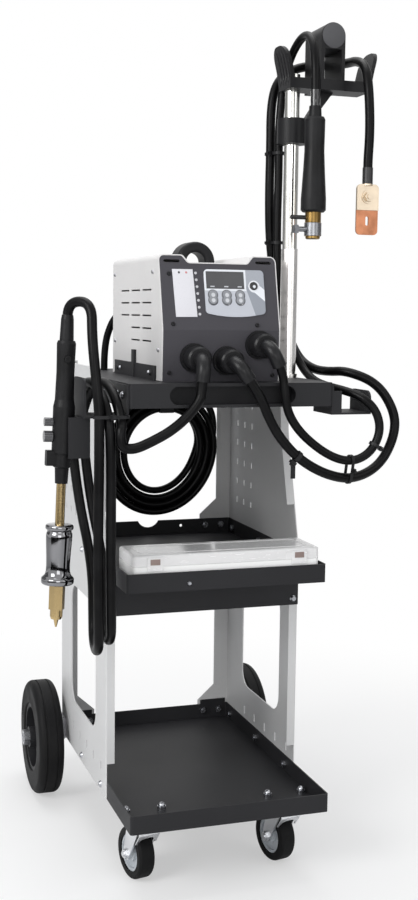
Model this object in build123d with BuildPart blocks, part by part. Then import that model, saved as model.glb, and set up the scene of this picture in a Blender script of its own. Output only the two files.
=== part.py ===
from build123d import *
import os
from math import acos, cos, pi, radians, sin, sqrt, tan

os.makedirs("parts", exist_ok=True)

# Dent pulling welder on its trolley. Sizes in millimetres.
# Origin: on the floor under the middle of the object. X right, Y to the back, Z up.

# Clearances
fit = 0.05            # round piece in its hole, radial
easy = 0.1            # fixed piece in its hole, radial
free = 0.3            # between pieces that move past each other

# Trays, shelf and side panels
sheet = 2.0
tray_width = 310.0
half = tray_width / 2
tray_front = -295.0
tray_back = 177.0
tray_floor = 110.0
lip = 28.0
corner = 4.0
tab_width = 52.0
tab_rise = 8.0
mid_front = -267.0
mid_floor = 459.0
shelf_front = -277.0
shelf_top = 761.0
apron = 35.0
grip_length = 192.0
grip_height = 26.0
grip_depth = 10.0
lead_hole_r = 12.0
panel_front = -152.0
panel_top = shelf_top + 14.0
nose_low = (panel_front, mid_floor + 41.0)
nose_high = (-103.0, shelf_top - 91.0)
nose_top = (-97.0, shelf_top - 21.0)
panel_top_front = -81.0
window_front = -83.0
window_back = 96.0
window_low = tray_floor + 87.0
window_high = mid_floor - 59.0
window_r = 30.0
flange_front = 12.0
flange_rear = 26.0
flange_low = tray_floor + 56.0
gusset_reach = 57.0
gusset_drop = 28.0
slot_columns = (136.0, 100.0, 64.0)
slot_drop = 62.0
slot_pitch = 34.4
slot_rows = [shelf_top - slot_drop - slot_pitch * i for i in range(6)]
slot_length = 11.0
slot_width = 4.6
low_slot_first = -120.0
low_slot_pitch = 50.0
low_slot_z = tray_floor + 43.0
bar_drop = 60.0
bar_flange = 40.0
bar_return = 14.0
notch_r = 21.0
notch_drop = 12.0
lip_hole_x = 61.5
lip_hole_r = 2.5

# Screws and bolts
screw_r = 3.0
head_r = 5.6
head_h = 3.2
nut_r = 5.8
nut_h = 4.0
tray_screw_y = (-119.0, 15.0, 150.0)
shelf_screw_y = (-50.0, 120.0)
hook_screw_y = (-249.0, -222.0)
shelf_side_screw_y = -125.0
tray_screw_rise = 13.0
rear_screw_x = (half - 48.0, half - 18.0)
rear_screw_rise = 17.0
bar_screw_x = half - 6.0
bar_screw_rise = 10.0
castor_bolt_r = 4.0
castor_bolt_head = 7.5
castor_nut_h = 6.0

# Cable hooks and gun holder
hook_front = -274.0
hook_back = -205.0
hook_reach = 64.0
hook_sheet = 3.0
hook_floor = shelf_top - 48.0
hook_tip_left = shelf_top + 8.0
hook_tip_right = shelf_top - 13.0
hook_tip_r = 12.0
hook_stop = 13.0
cradle_front = -255.0
cradle_back = -215.0
cradle_low = hook_floor - 58.0
cradle_gap = 51.0
cradle_width = 31.0
cradle_in = -half - cradle_gap
cradle_out = cradle_in - cradle_width

# Rear wheels and axle
axle_y = 195.0
axle_r = 8.0
wheel_r = 100.0
tyre_width = 44.0
wheel_gap = 11.0
wheel_x = half + sheet + wheel_gap + tyre_width / 2
rim_r = 60.0
rim_wall = 7.0
rim_width = 38.0
hub_r = 18.0
hub_width = 48.0
web = 9.0
spokes = 5
spoke_width = 14.0
block_width = 8.0
block_r = 17.0
axle_nut_r = 14.0
axle_nut_h = 10.0

# Castors
castor_inset = 41.0
castor_x = half - castor_inset
castor_y = -218.0
castor_yaw = radians(12)
castor_r = 40.0
castor_width = 26.0
castor_hub_r = 28.0
castor_trail = 24.0
castor_plate_x = 78.0
castor_plate_y = 62.0
castor_plate_h = 3.0
castor_bolt_gap = 56.0
race_r = 19.5
race_h = 6.0
fork_h = 4.5
leg_in = 15.0
leg_sheet = 2.5
fork_boss = 9.5
castor_axle_r = 4.0
kingpin_r = 6.0

# Mast and tool holder
mast_inset = 16.0
mast_x = half - mast_inset
mast_y = -135.0
mast_r = 13.0
mast_wall = 1.4
mast_foot_r = 16.0
mast_foot_h = 6.0
mast_joint = shelf_top + 200.0
upper_r = mast_r - mast_wall - easy
upper_wall = 2.0
upper_low = mast_joint - 100.0
mast_top = shelf_top + 465.0
holder_front = -163.0
holder_back = -118.0
holder_height = 16.0
holder_low = mast_top - 24.0
holder_high = holder_low + holder_height
horn_height = 48.0
horn_lean = 14.0
horn_bow = 0.35
horn_sheet = 6.0
horn_back = -108.0
horn_r = 22.0
left_horn_x = mast_x - 12.0
saddle_x = mast_x + 54.0
saddle_r = 19.6
saddle_rise = 65.0
saddle_wall = 5.5
saddle_front = -165.0
saddle_back = -100.0
saddle_z = holder_high + saddle_rise
collar_r = 23.0
collar_height = 38.0
collar_low = holder_low - 81.0
collar_high = collar_low + collar_height
brace_depth = 12.0
brace_width = 12.0

# Welder unit
unit_mid = -5.0
unit_half = 91.0
crease_z = shelf_top + 75.0
unit_top = shelf_top + 184.0
face_bottom_y = -233.0
crease_y = -236.0
face_top_y = -210.0
face_sheet = 2.0
skin = 1.5
unit_back = 53.5
channel_half = 54.0
channel_slope = 9.0
channel_floor = unit_top - 11.0
vent_drop = 51.0
vent_pitch = 19.0
vent_rows = [unit_top - vent_drop - vent_pitch * i for i in range(5)]
vent_columns = (-151.0, -87.0, -23.0)
vent_length = 52.0
face_slot = 24.5
face_slot_height = 4.5
face_slot_x = 71.0
face_slot_drop = 9.5
vent_height = 2.4
clamp_front = -206.0
clamp_back = 32.0
clamp_height = 22.0
clamp_sheet = 3.0
strap_y = -86.0
strap_width = 14.0
strap_height = 42.0
handle_y = -88.0
handle_half = 23.0
handle_thick = 16.0
handle_depth = 40.0
handle_round = 5.0
handle_leg = 2.0
handle_foot_rim = 2.0
handle_foot_h = 3.0

# Control panel on the sloping face
control_left = -28.5
control_right = 64.5
control_low = crease_z + 24.5
control_high = crease_z + 88.0
control_sag = 5.5
control_r = 6.0
control_sheet = 1.5
display_left = -25.5
display_right = 33.0
display_low = crease_z + 60.0
display_high = crease_z + 85.0
display_h = 1.8
key_columns = (-16.3, 5.0, 25.8)
key_z = crease_z + 47.3
key_eye_r = 6.5
key_eye_gap = 8.0
key_stand = 3.0
key_depth = 2.5
mode_x = 48.0
mode_z = crease_z + 64.7
mode_r = 6.0

# Sockets, plugs and cables
socket_places = ((-48.0, shelf_top + 35.0), (2.0, shelf_top + 31.0), (52.0, shelf_top + 54.0))
plug_drops = ((-0.1, -1.0), (0.6, -0.8), (0.45, -0.9))
socket_r = 21.0
socket_h = 6.0
socket_neck_r = 17.0
socket_neck = 12.0
plug_r = 18.0
plug_length = 28.0
boot_r = 10.5
boot_bend = 20.0
boot_tail = 10.0
cable_d = 14.5
tool_cable_d = 13.0
lead_d = 12.0

# Back of the unit
fan_x = 42.0
fan_z = shelf_top + 89.0
fan_r = 40.0
fan_boss_r = 9.0
fan_boss = 7.0
fan_shaft_r = 2.0
rotor_r = 36.0
rotor_hub_r = 13.0
rotor_depth = 16.0
rotor_gap = 2.0
blades = 7
switch_x = -40.0
switch_z = shelf_top + 51.0
switch_width = 16.0
switch_height = 24.0
switch_depth = 6.0
switch_stand = 3.5
gland_x = -70.0
gland_z = shelf_top + 99.0
gland_r = 9.5
gland_flange_r = 14.0
gland_length = 16.0

# Pulling gun, hung beside the left hook. Distances run down its axis from the top.
gun_y = -235.0
gun_top = (cradle_out + 3.0, gun_y, shelf_top + 95.0)
gun_tip = (cradle_out - 14.5, gun_y, shelf_top - 351.0)
boot_end = 36.0
handle_end = 119.0
body_start = 129.0
body_end = 194.0
collar_end = 214.0
nose_end = 238.0
cable_boot_r = 9.0
gun_handle_r = 13.5
gun_body_r = 15.5
gun_collar_r = 13.0
nose_r = 9.0
rod_r = 6.7
rod_insert = 10.0
hammer_top = 297.0
hammer_end = 383.0
hammer_flange_top_r = 20.0
hammer_flange_r = 23.5
hammer_barrel_r = 18.5
hammer_waist_r = 16.5
chuck_gap = 0.5
chuck_end = 434.0
chuck_r = 11.6
tip_end = 446.0
trigger_at = 62.0
trigger_r = 5.0
trigger_stand = 4.0
knob_at = (151.0, 171.5)
knob_r = (6.0, 8.0)
knob_length = 12.0
knob_stem_r = 2.5
knob_stem = 6.0

# Hand tool and earth plate, hung from the holder
hang_y = -207.0
tool_x = mast_x + 8.0
tool_top = holder_low - 49.0
tool_low = tool_top - 140.0
tool_end = tool_low - 40.0
tool_boot_r = 9.0
tool_boot = 16.0
tool_grip_r = 15.5
tool_grip_low_r = 19.0
tool_brass_r = 12.1
tool_brass = 16.0
tool_clamp_r = 13.0
tool_clamp = 19.0
tool_jaw_r = 11.0
tool_bolt_r = 7.0
tool_bolt_head = 6.5
tool_bolt_reach = 31.0
tool_screw_r = 3.2
tool_screw_reach = 36.0
plate_x = mast_x + 96.5
plate_width = 36.0
plate_low = holder_low - 220.0
plate_high = plate_low + 76.0
plate_sheet = 3.0
plate_r = 7.0
plate_slot = 14.0
plate_slot_width = 5.0
plate_slot_rise = 21.0
shoe_low = plate_low + 37.0
shoe_sheet = 2.0
plate_bolt_rise = 57.0
plate_washer_r = 10.0
plate_washer = 1.5
plate_nut = 4.5
sleeve_r = 8.0
sleeve_length = 25.0

# Accessory box in the front of the middle tray
box_room = 8.0
box_half = half - sheet - box_room
box_front = -263.0
box_back = -178.0
box_wall = 1.8
box_base_height = 35.0
box_lid_height = 17.0
box_r = 6.0
hinge_x = box_half - 50.0
hinge_out = 4.0
hinge_pin_r = 1.6
hinge_knuckle_r = 3.2
knuckle_half = 5.0
lug_wall = 4.0
latch_x = box_half - 43.0
latch_width = 22.0
latch_height = 15.0
latch_sheet = 2.0
compartments = 4
divider_x = [box_half * (2 * i / compartments - 1) for i in range(1, compartments)]
divider_height = 26.0

# Mains lead coil under the shelf
coil_x = 16.0
coil_y = 129.0
coil_z = shelf_top - 137.0
coil_turns = 3
coil_outer = 108.0
coil_pitch = 12.8
coil_dip = 3.5
coil_hook_half = 12.0
coil_hook_sheet = 3.0
coil_hook_lip = 16.0
plug_body_r = 13.0
plug_body = 46.0
plug_neck_r = 8.5
plug_neck = 14.0

panel_back = tray_back + sheet


def finish(builder, name):
    builder.part.label = name
    export_step(builder.part, f"parts/{name}.step")


def yz(x):
    return Plane(origin=(x, 0, 0), x_dir=(0, 1, 0), z_dir=(1, 0, 0))


def xz(y):
    return Plane(origin=(0, y, 0), x_dir=(1, 0, 0), z_dir=(0, -1, 0))


def block(x0, x1, y0, y1, z0, z1, mode=Mode.ADD):
    with Locations(((x0 + x1) / 2, (y0 + y1) / 2, (z0 + z1) / 2)):
        Box(abs(x1 - x0), abs(y1 - y0), abs(z1 - z0), mode=mode)


# Places of the screws: a plane on the outer face, its normal pointing away from the sheet
def side_seat(side, y, z, out=0.0):
    return Plane(origin=(side * (half + sheet + out), y, z), x_dir=(0, 1, 0), z_dir=(side, 0, 0))


def back_seat(x, z):
    return Plane(origin=(x, panel_back, z), x_dir=(1, 0, 0), z_dir=(0, 1, 0))


def front_seat(x, z):
    return Plane(origin=(x, panel_front - sheet, z), x_dir=(1, 0, 0), z_dir=(0, -1, 0))


sides = (-1, 1)
panel_seats = {s: [] for s in sides}
for s in sides:
    for floor in (tray_floor, mid_floor):
        for y in tray_screw_y:
            panel_seats[s].append(side_seat(s, y, floor + tray_screw_rise))
    for y in shelf_screw_y:
        panel_seats[s].append(side_seat(s, y, shelf_top - apron / 2))
back_seats = []
for floor in (tray_floor, mid_floor):
    for s in sides:
        for x in rear_screw_x:
            back_seats.append(back_seat(s * x, floor + rear_screw_rise))
bar_seats = [front_seat(s * bar_screw_x, mid_floor - bar_drop + bar_screw_rise) for s in sides]
hook_seats = []
for s in sides:
    for y in hook_screw_y:
        hook_seats.append(side_seat(s, y, shelf_top - apron / 2, hook_sheet - sheet))
shelf_seats = [side_seat(s, shelf_side_screw_y, shelf_top - apron / 2, -sheet) for s in sides]
sheet_seats = panel_seats[-1] + panel_seats[1] + back_seats + bar_seats
all_seats = sheet_seats + hook_seats + shelf_seats
castor_bolts = []
for s in sides:
    for t in sides:
        castor_bolts.append((s * castor_x + t * castor_bolt_gap / 2, castor_y, tray_floor))


# Lower tray
with BuildPart() as lower_tray:
    with BuildSketch(Plane.XY.offset(tray_floor)):
        with Locations((0, (tray_front + tray_back) / 2)):
            RectangleRounded(tray_width, tray_back - tray_front, corner)
    extrude(amount=lip)
    with BuildSketch(Plane.XY.offset(tray_floor + sheet)):
        with Locations((0, (tray_front + tray_back) / 2)):
            RectangleRounded(tray_width - 2 * sheet, tray_back - tray_front - 2 * sheet, corner - sheet)
    extrude(amount=lip, mode=Mode.SUBTRACT)
    for s in sides:
        block(s * (half - tab_width), s * (half - corner), tray_back - sheet, tray_back,
              tray_floor + lip - sheet, tray_floor + lip + tab_rise)
    with Locations(*castor_bolts):
        Cylinder(castor_bolt_r + easy, 4 * sheet, mode=Mode.SUBTRACT)
    with Locations(*sheet_seats):
        Cylinder(screw_r + easy, 6 * sheet, mode=Mode.SUBTRACT)
finish(lower_tray, "lower_tray")

# Middle tray
with BuildPart() as middle_tray:
    with BuildSketch(Plane.XY.offset(mid_floor)):
        with Locations((0, (mid_front + tray_back) / 2)):
            RectangleRounded(tray_width, tray_back - mid_front, corner)
    extrude(amount=lip)
    with BuildSketch(Plane.XY.offset(mid_floor + sheet)):
        with Locations((0, (mid_front + tray_back) / 2)):
            RectangleRounded(tray_width - 2 * sheet, tray_back - mid_front - 2 * sheet, corner - sheet)
    extrude(amount=lip, mode=Mode.SUBTRACT)
    with BuildSketch(xz(tray_back)):
        with Locations((0, mid_floor + lip - notch_drop + notch_r)):
            Circle(notch_r)
        with Locations((lip_hole_x, mid_floor + rear_screw_rise)):
            Circle(lip_hole_r)
    extrude(amount=2 * sheet, both=True, mode=Mode.SUBTRACT)
    with Locations(*sheet_seats):
        Cylinder(screw_r + easy, 6 * sheet, mode=Mode.SUBTRACT)
finish(middle_tray, "middle_tray")

# Crossbar under the middle tray
with BuildPart() as middle_crossbar:
    block(-half - sheet, half + sheet, panel_front - sheet, panel_front, mid_floor - bar_drop, mid_floor)
    bar_half = half - flange_front - sheet
    block(-bar_half, bar_half, panel_front - sheet, panel_front + bar_flange, mid_floor - sheet, mid_floor)
    block(-bar_half, bar_half, panel_front - sheet, panel_front + bar_return,
          mid_floor - bar_drop, mid_floor - bar_drop + sheet)
    with Locations(*bar_seats):
        Cylinder(screw_r + easy, 6 * sheet, mode=Mode.SUBTRACT)
finish(middle_crossbar, "middle_crossbar")

# Top shelf: a pan turned upside down, with a grip slot in front and a hook for the coiled lead
coil_back = coil_y + coil_pitch + lead_d
coil_inner = coil_outer - (coil_turns - 0.25) * coil_pitch - lead_d / 2
hook_top = coil_z + sqrt(coil_inner ** 2 - coil_hook_half ** 2) - 0.5
with BuildPart() as top_shelf:
    with BuildSketch(Plane.XY.offset(shelf_top - apron)):
        with Locations((0, (shelf_front + tray_back) / 2)):
            RectangleRounded(tray_width, tray_back - shelf_front, corner)
    extrude(amount=apron)
    with BuildSketch(Plane.XY.offset(shelf_top - apron)):
        with Locations((0, (shelf_front + tray_back) / 2)):
            RectangleRounded(tray_width - 2 * sheet, tray_back - shelf_front - 2 * sheet, corner - sheet)
    extrude(amount=apron - sheet, mode=Mode.SUBTRACT)
    with BuildSketch(xz(shelf_front + sheet + grip_depth)):
        with Locations((0, shelf_top - apron / 2)):
            SlotOverall(grip_length + 2 * sheet, grip_height + 2 * sheet)
    extrude(amount=grip_depth)
    with BuildSketch(xz(shelf_front + sheet + grip_depth)):
        with Locations((0, shelf_top - apron / 2)):
            SlotOverall(grip_length, grip_height)
    extrude(amount=grip_depth + 2 * sheet, mode=Mode.SUBTRACT)
    with Locations((coil_x - coil_outer, coil_y, shelf_top)):
        Cylinder(lead_hole_r, 4 * sheet, mode=Mode.SUBTRACT)
    block(coil_x - coil_hook_half, coil_x + coil_hook_half, coil_back, coil_back + coil_hook_sheet,
          hook_top - coil_hook_sheet, shelf_top - sheet)
    block(coil_x - coil_hook_half, coil_x + coil_hook_half, coil_y - lead_d - coil_hook_sheet,
          coil_back + coil_hook_sheet, hook_top - coil_hook_sheet, hook_top)
    block(coil_x - coil_hook_half, coil_x + coil_hook_half, coil_y - lead_d - coil_hook_sheet,
          coil_y - lead_d, hook_top - coil_hook_sheet, hook_top + coil_hook_lip)
    with Locations(*all_seats):
        Cylinder(screw_r + easy, 8 * sheet, mode=Mode.SUBTRACT)
finish(top_shelf, "top_shelf")


# Side panels: folded sheet with a window, slots and flanges
def nose_at(z):
    share = (z - nose_low[1]) / (nose_high[1] - nose_low[1])
    return nose_low[0] + share * (nose_high[0] - nose_low[0])


def side_panel(side):
    inner = side * half
    outer = side * (half + sheet)
    with BuildPart() as panel:
        with BuildSketch(yz(min(inner, outer))):
            with BuildLine():
                FilletPolyline(
                    (panel_front, tray_floor), (panel_back, tray_floor), (panel_back, panel_top),
                    (panel_top_front, panel_top), nose_top, nose_high, nose_low,
                    radius=[3, 3, 3, 14, 40, 60, 60], close=True)
            make_face()
            with Locations(((window_front + window_back) / 2, (window_low + window_high) / 2)):
                RectangleRounded(window_back - window_front, window_high - window_low, window_r,
                                 mode=Mode.SUBTRACT)
            with Locations(*[(y, z) for y in slot_columns for z in slot_rows]):
                SlotOverall(slot_length, slot_width, rotation=90, mode=Mode.SUBTRACT)
            with Locations(*[(low_slot_first + i * low_slot_pitch, low_slot_z) for i in range(5)]):
                SlotOverall(15, 5, rotation=90, mode=Mode.SUBTRACT)
        extrude(amount=sheet)
        block(inner - side * flange_rear, inner, tray_back, panel_back, tray_floor, panel_top)
        block(inner - side * flange_front, inner, panel_front, panel_front + sheet,
              flange_low, mid_floor - sheet)
        with BuildSketch(xz(panel_back)):
            for floor in (tray_floor, mid_floor):
                top = floor + lip + 4 * sheet
                edge = inner - side * flange_rear
                reach = inner - side * gusset_reach
                Polygon((edge, floor), (reach, floor), (reach, top), (edge, top + gusset_drop), align=None)
        extrude(amount=sheet)
        with BuildSketch(yz(min(inner, inner - side * flange_front))):
            low = nose_high[1] - 112
            high = shelf_top - apron - 4
            climb = (high - nose_high[1]) / (nose_top[1] - nose_high[1])
            mid = nose_high[0] + (nose_top[0] - nose_high[0]) * climb
            Polygon((nose_at(low), low), nose_high, (mid, high), (mid + sheet, high),
                    (nose_high[0] + sheet, nose_high[1]), (nose_at(low) + sheet, low), align=None)
        extrude(amount=flange_front)
        with Locations(*panel_seats[side], *back_seats, *bar_seats):
            Cylinder(screw_r + easy, 8 * sheet, mode=Mode.SUBTRACT)
        bend = panel.edges().filter_by(Axis.Z).filter_by(
            lambda e: abs(e.center().X - outer) < 0.1 and abs(e.center().Y - panel_back) < 0.1)
        fillet(bend, sheet * 0.9)
    return panel


side_panel_left = side_panel(-1)
finish(side_panel_left, "side_panel_left")
side_panel_right = side_panel(1)
finish(side_panel_right, "side_panel_right")

# Pulling gun axis
gun_up = (Vector(*gun_top) - Vector(*gun_tip)).normalized()
gun_frame = Plane(origin=gun_top, x_dir=(gun_up.Z, 0, -gun_up.X), z_dir=gun_up)


def gun_at(distance):
    return gun_frame.from_local_coords(Vector(0, 0, -distance))


# Cable hooks on both sides of the shelf. The left one carries the cradle for the gun.
with BuildPart() as cable_hooks:
    for s, tip in ((-1, hook_tip_left), (1, hook_tip_right)):
        block(s * half, s * (half + hook_sheet), hook_front, hook_back, hook_floor, shelf_top - sheet)
        block(s * half, s * (half + hook_reach), hook_front, hook_back, hook_floor, hook_floor + hook_sheet)
        far = s * (half + hook_reach)
        with BuildSketch(yz(min(far, far - s * hook_sheet))):
            with BuildLine():
                FilletPolyline((hook_front, hook_floor), (hook_back, hook_floor), (hook_back, tip),
                               (hook_front, tip), radius=[0, 0, hook_tip_r, hook_tip_r], close=True)
            make_face()
        extrude(amount=hook_sheet)
    block(half + hook_sheet, half + hook_sheet + hook_stop, hook_front, hook_front + hook_sheet,
          hook_floor, hook_tip_right)
    block(cradle_out, cradle_in, cradle_front, cradle_back, cradle_low, hook_floor)
    with Locations(gun_frame):
        Cylinder(gun_body_r + free, collar_end + nose_end, mode=Mode.SUBTRACT,
                 align=(Align.CENTER, Align.CENTER, Align.MAX))
    with Locations(*hook_seats):
        Cylinder(screw_r + easy, 8 * sheet, mode=Mode.SUBTRACT)
finish(cable_hooks, "cable_hooks")

# Rear axle and the blocks that carry it
with BuildPart() as rear_axle:
    with Locations(Plane(origin=(0, axle_y, wheel_r), x_dir=(0, 1, 0), z_dir=(1, 0, 0))):
        Cylinder(axle_r, 2 * (wheel_x + hub_width / 2 + axle_nut_h - 1))
finish(rear_axle, "rear_axle")

with BuildPart() as axle_blocks:
    for s in sides:
        near = s * (half + sheet)
        with BuildSketch(yz(min(near, near + s * block_width))):
            with Locations((axle_y, wheel_r)):
                Circle(block_r)
            with Locations((tray_back - 2 * block_r / 2, tray_floor + block_r + sheet)):
                Rectangle(2 * block_r, 2 * block_r)
            make_hull()
            with Locations((axle_y, wheel_r)):
                Circle(axle_r + fit, mode=Mode.SUBTRACT)
        extrude(amount=block_width)
    with Locations(*panel_seats[-1], *panel_seats[1]):
        Cylinder(head_r + free, 4 * block_width, mode=Mode.SUBTRACT)
finish(axle_blocks, "axle_blocks")


# Rear wheels
def wheel_tyre(side):
    frame = Plane(origin=(side * wheel_x, axle_y, wheel_r), x_dir=(1, 0, 0), z_dir=(0, -1, 0))
    axis = Axis((side * wheel_x, axle_y, wheel_r), (1, 0, 0))
    with BuildPart() as tyre:
        with BuildSketch(frame) as section:
            with Locations((0, (rim_r + easy + wheel_r) / 2)):
                Rectangle(tyre_width, wheel_r - rim_r - easy)
            fillet(section.vertices().group_by(Axis.Y)[-1], 11)
            fillet(section.vertices().group_by(Axis.Y)[0], 3)
            with Locations((-9, wheel_r), (9, wheel_r)):
                Rectangle(2.4, 3.0, mode=Mode.SUBTRACT)
        revolve(axis=axis)
    return tyre


def wheel_rim(side):
    frame = Plane(origin=(side * wheel_x, axle_y, wheel_r), x_dir=(1, 0, 0), z_dir=(0, -1, 0))
    axis = Axis((side * wheel_x, axle_y, wheel_r), (1, 0, 0))
    face = Plane(origin=(side * wheel_x, axle_y, wheel_r), x_dir=(0, 1, 0), z_dir=(1, 0, 0))
    with BuildPart() as rim:
        with BuildSketch(frame):
            with Locations((0, rim_r - rim_wall / 2)):
                Rectangle(rim_width, rim_wall)
            with Locations((0, (rim_r + hub_r) / 2 - rim_wall / 2)):
                Rectangle(web, rim_r - hub_r)
            with Locations((0, (hub_r + axle_r + fit) / 2)):
                Rectangle(hub_width, hub_r - axle_r - fit)
        revolve(axis=axis)
        with BuildSketch(face):
            Circle(rim_r - rim_wall - 2)
            Circle(hub_r + 3, mode=Mode.SUBTRACT)
            with PolarLocations((rim_r + hub_r) / 2, spokes, start_angle=90):
                Rectangle(rim_r, spoke_width, mode=Mode.SUBTRACT)
        extrude(amount=web, both=True, mode=Mode.SUBTRACT)
    return rim


for s, name in ((-1, "left"), (1, "right")):
    finish(wheel_tyre(s), f"wheel_tyre_{name}")
    finish(wheel_rim(s), f"wheel_rim_{name}")


# Castors
def castor_frame(side):
    return Plane(origin=(side * castor_x, castor_y, 0),
                 x_dir=(cos(castor_yaw), sin(castor_yaw), 0), z_dir=(0, 0, 1))


plate_low_z = tray_floor - castor_plate_h
race_low = plate_low_z - race_h
fork_top = race_low - free
fork_low = fork_top - fork_h

with BuildPart() as castor_plates:
    for s in sides:
        with BuildSketch(Plane.XY.offset(plate_low_z)):
            with Locations((s * castor_x, castor_y)):
                RectangleRounded(castor_plate_x, castor_plate_y, 6)
            with Locations((s * castor_x - castor_bolt_gap / 2, castor_y),
                           (s * castor_x + castor_bolt_gap / 2, castor_y)):
                Circle(castor_bolt_r + easy, mode=Mode.SUBTRACT)
        extrude(amount=castor_plate_h)
        with Locations((s * castor_x, castor_y, race_low)):
            Cone(race_r - 3, race_r, race_h, align=(Align.CENTER, Align.CENTER, Align.MIN))
        with Locations((s * castor_x, castor_y, race_low)):
            Cylinder(kingpin_r, fork_h + 2 * free + 4, align=(Align.CENTER, Align.CENTER, Align.MAX))
        with BuildSketch(Plane.XY.offset(fork_low - free)):
            with Locations((s * castor_x, castor_y)):
                RegularPolygon(kingpin_r + 4, 6)
        extrude(amount=-4)
finish(castor_plates, "castor_plates")


def castor_fork(side):
    frame = castor_frame(side)
    wheel = Plane(origin=frame.from_local_coords(Vector(0, castor_trail, castor_r)),
                  x_dir=frame.y_dir, z_dir=frame.x_dir)
    with BuildPart() as fork:
        with BuildSketch(frame.offset(fork_low)):
            Rectangle(2 * (leg_in + leg_sheet), 36)
            Circle(race_r)
            Circle(kingpin_r + fit, mode=Mode.SUBTRACT)
        extrude(amount=fork_h)
        for start in (-leg_in - leg_sheet, leg_in):
            with BuildSketch(Plane(origin=frame.from_local_coords(Vector(start, 0, 0)),
                                   x_dir=frame.y_dir, z_dir=frame.x_dir)):
                with Locations((castor_trail, castor_r)):
                    Circle(fork_boss)
                with Locations((0, fork_top - fork_h)):
                    Rectangle(36, 2 * fork_h)
                make_hull()
                with Locations((castor_trail, castor_r)):
                    Circle(castor_axle_r + fit, mode=Mode.SUBTRACT)
            extrude(amount=leg_sheet)
        with Locations(wheel):
            Cylinder(castor_axle_r, 2 * (leg_in + leg_sheet) + 12)
        for t in sides:
            with BuildSketch(wheel.offset(t * (leg_in + leg_sheet + fit))):
                RegularPolygon(castor_axle_r + 3.5, 6)
            extrude(amount=t * 4)
    return fork


def castor_hub(side):
    frame = castor_frame(side)
    wheel = Plane(origin=frame.from_local_coords(Vector(0, castor_trail, castor_r)),
                  x_dir=frame.y_dir, z_dir=frame.x_dir)
    with BuildPart() as hub:
        with Locations(wheel):
            Cylinder(castor_hub_r, castor_width - 5)
            Cylinder(fork_boss, 2 * (leg_in - free))
            Cylinder(castor_axle_r + fit, castor_width * 2, mode=Mode.SUBTRACT)
        for t in sides:
            with BuildSketch(wheel.offset(t * (castor_width - 5) / 2)):
                Circle(castor_hub_r - 4)
                Circle(fork_boss + 3, mode=Mode.SUBTRACT)
            extrude(amount=-t * 5, mode=Mode.SUBTRACT)
    return hub


def castor_tyre(side):
    frame = castor_frame(side)
    wheel = Plane(origin=frame.from_local_coords(Vector(0, castor_trail, castor_r)),
                  x_dir=frame.y_dir, z_dir=frame.x_dir)
    with BuildPart() as tyre:
        with Locations(wheel):
            Cylinder(castor_r, castor_width)
        fillet(tyre.edges().filter_by(GeomType.CIRCLE), 5)
        with Locations(wheel):
            Cylinder(castor_hub_r + easy, castor_width * 2, mode=Mode.SUBTRACT)
    return tyre


for s, name in ((-1, "left"), (1, "right")):
    finish(castor_fork(s), f"castor_fork_{name}")
    finish(castor_hub(s), f"castor_hub_{name}")
    finish(castor_tyre(s), f"castor_tyre_{name}")

# Screws, castor bolts and axle nuts
low_end = (Align.CENTER, Align.CENTER, Align.MIN)
high_end = (Align.CENTER, Align.CENTER, Align.MAX)
with BuildPart() as trolley_screws:
    grips = ((sheet_seats, 2 * sheet), (hook_seats, hook_sheet + sheet), (shelf_seats, sheet))
    for seats, grip in grips:
        with Locations(*seats):
            Cone(head_r, head_r * 0.6, head_h, align=low_end)
            Cylinder(screw_r, grip + nut_h + 1, align=high_end)
        with BuildSketch(*[seat.offset(-grip) for seat in seats]):
            RegularPolygon(nut_r, 6)
        extrude(amount=-nut_h)
    with Locations(*[(x, y, z + sheet) for x, y, z in castor_bolts]):
        Cylinder(castor_bolt_head - 1, castor_nut_h, align=low_end)
        Cylinder(castor_bolt_r, castor_plate_h + sheet + 3, align=high_end)
    with Locations(*[(x, y, z + sheet + castor_nut_h) for x, y, z in castor_bolts]):
        Sphere(castor_bolt_head - 2)
    with BuildSketch(*[Plane(origin=(x, y, plate_low_z)) for x, y, z in castor_bolts]):
        RegularPolygon(castor_bolt_head, 6)
    extrude(amount=-3)
    for s in sides:
        nut_face = Plane(origin=(s * (wheel_x + hub_width / 2 + free), axle_y, wheel_r),
                         x_dir=(0, 1, 0), z_dir=(s, 0, 0))
        with BuildSketch(nut_face):
            RegularPolygon(axle_nut_r, 6)
            Circle(axle_r + fit, mode=Mode.SUBTRACT)
        extrude(amount=axle_nut_h)
finish(trolley_screws, "trolley_screws")

# Mast in two tubes
with BuildPart() as mast_lower:
    with Locations((mast_x, mast_y, shelf_top)):
        Cylinder(mast_foot_r, mast_foot_h, align=low_end)
        Cylinder(mast_r, mast_joint - shelf_top, align=low_end)
        Cylinder(mast_r - mast_wall, mast_joint - shelf_top, align=low_end, mode=Mode.SUBTRACT)
finish(mast_lower, "mast_lower")

with BuildPart() as mast_upper:
    with Locations((mast_x, mast_y, upper_low)):
        Cylinder(upper_r, mast_top - upper_low, align=low_end)
        Cylinder(upper_r - upper_wall, mast_top - upper_low - 2 * upper_wall, align=low_end,
                 mode=Mode.SUBTRACT)
finish(mast_upper, "mast_upper")

# Tool holder: collar, brace, base bar, two horns and the saddle
hammer_x = gun_at(hammer_end).X
holder_right = -hammer_x + hammer_flange_r * gun_up.Z
horn_top = holder_high + horn_height


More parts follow.
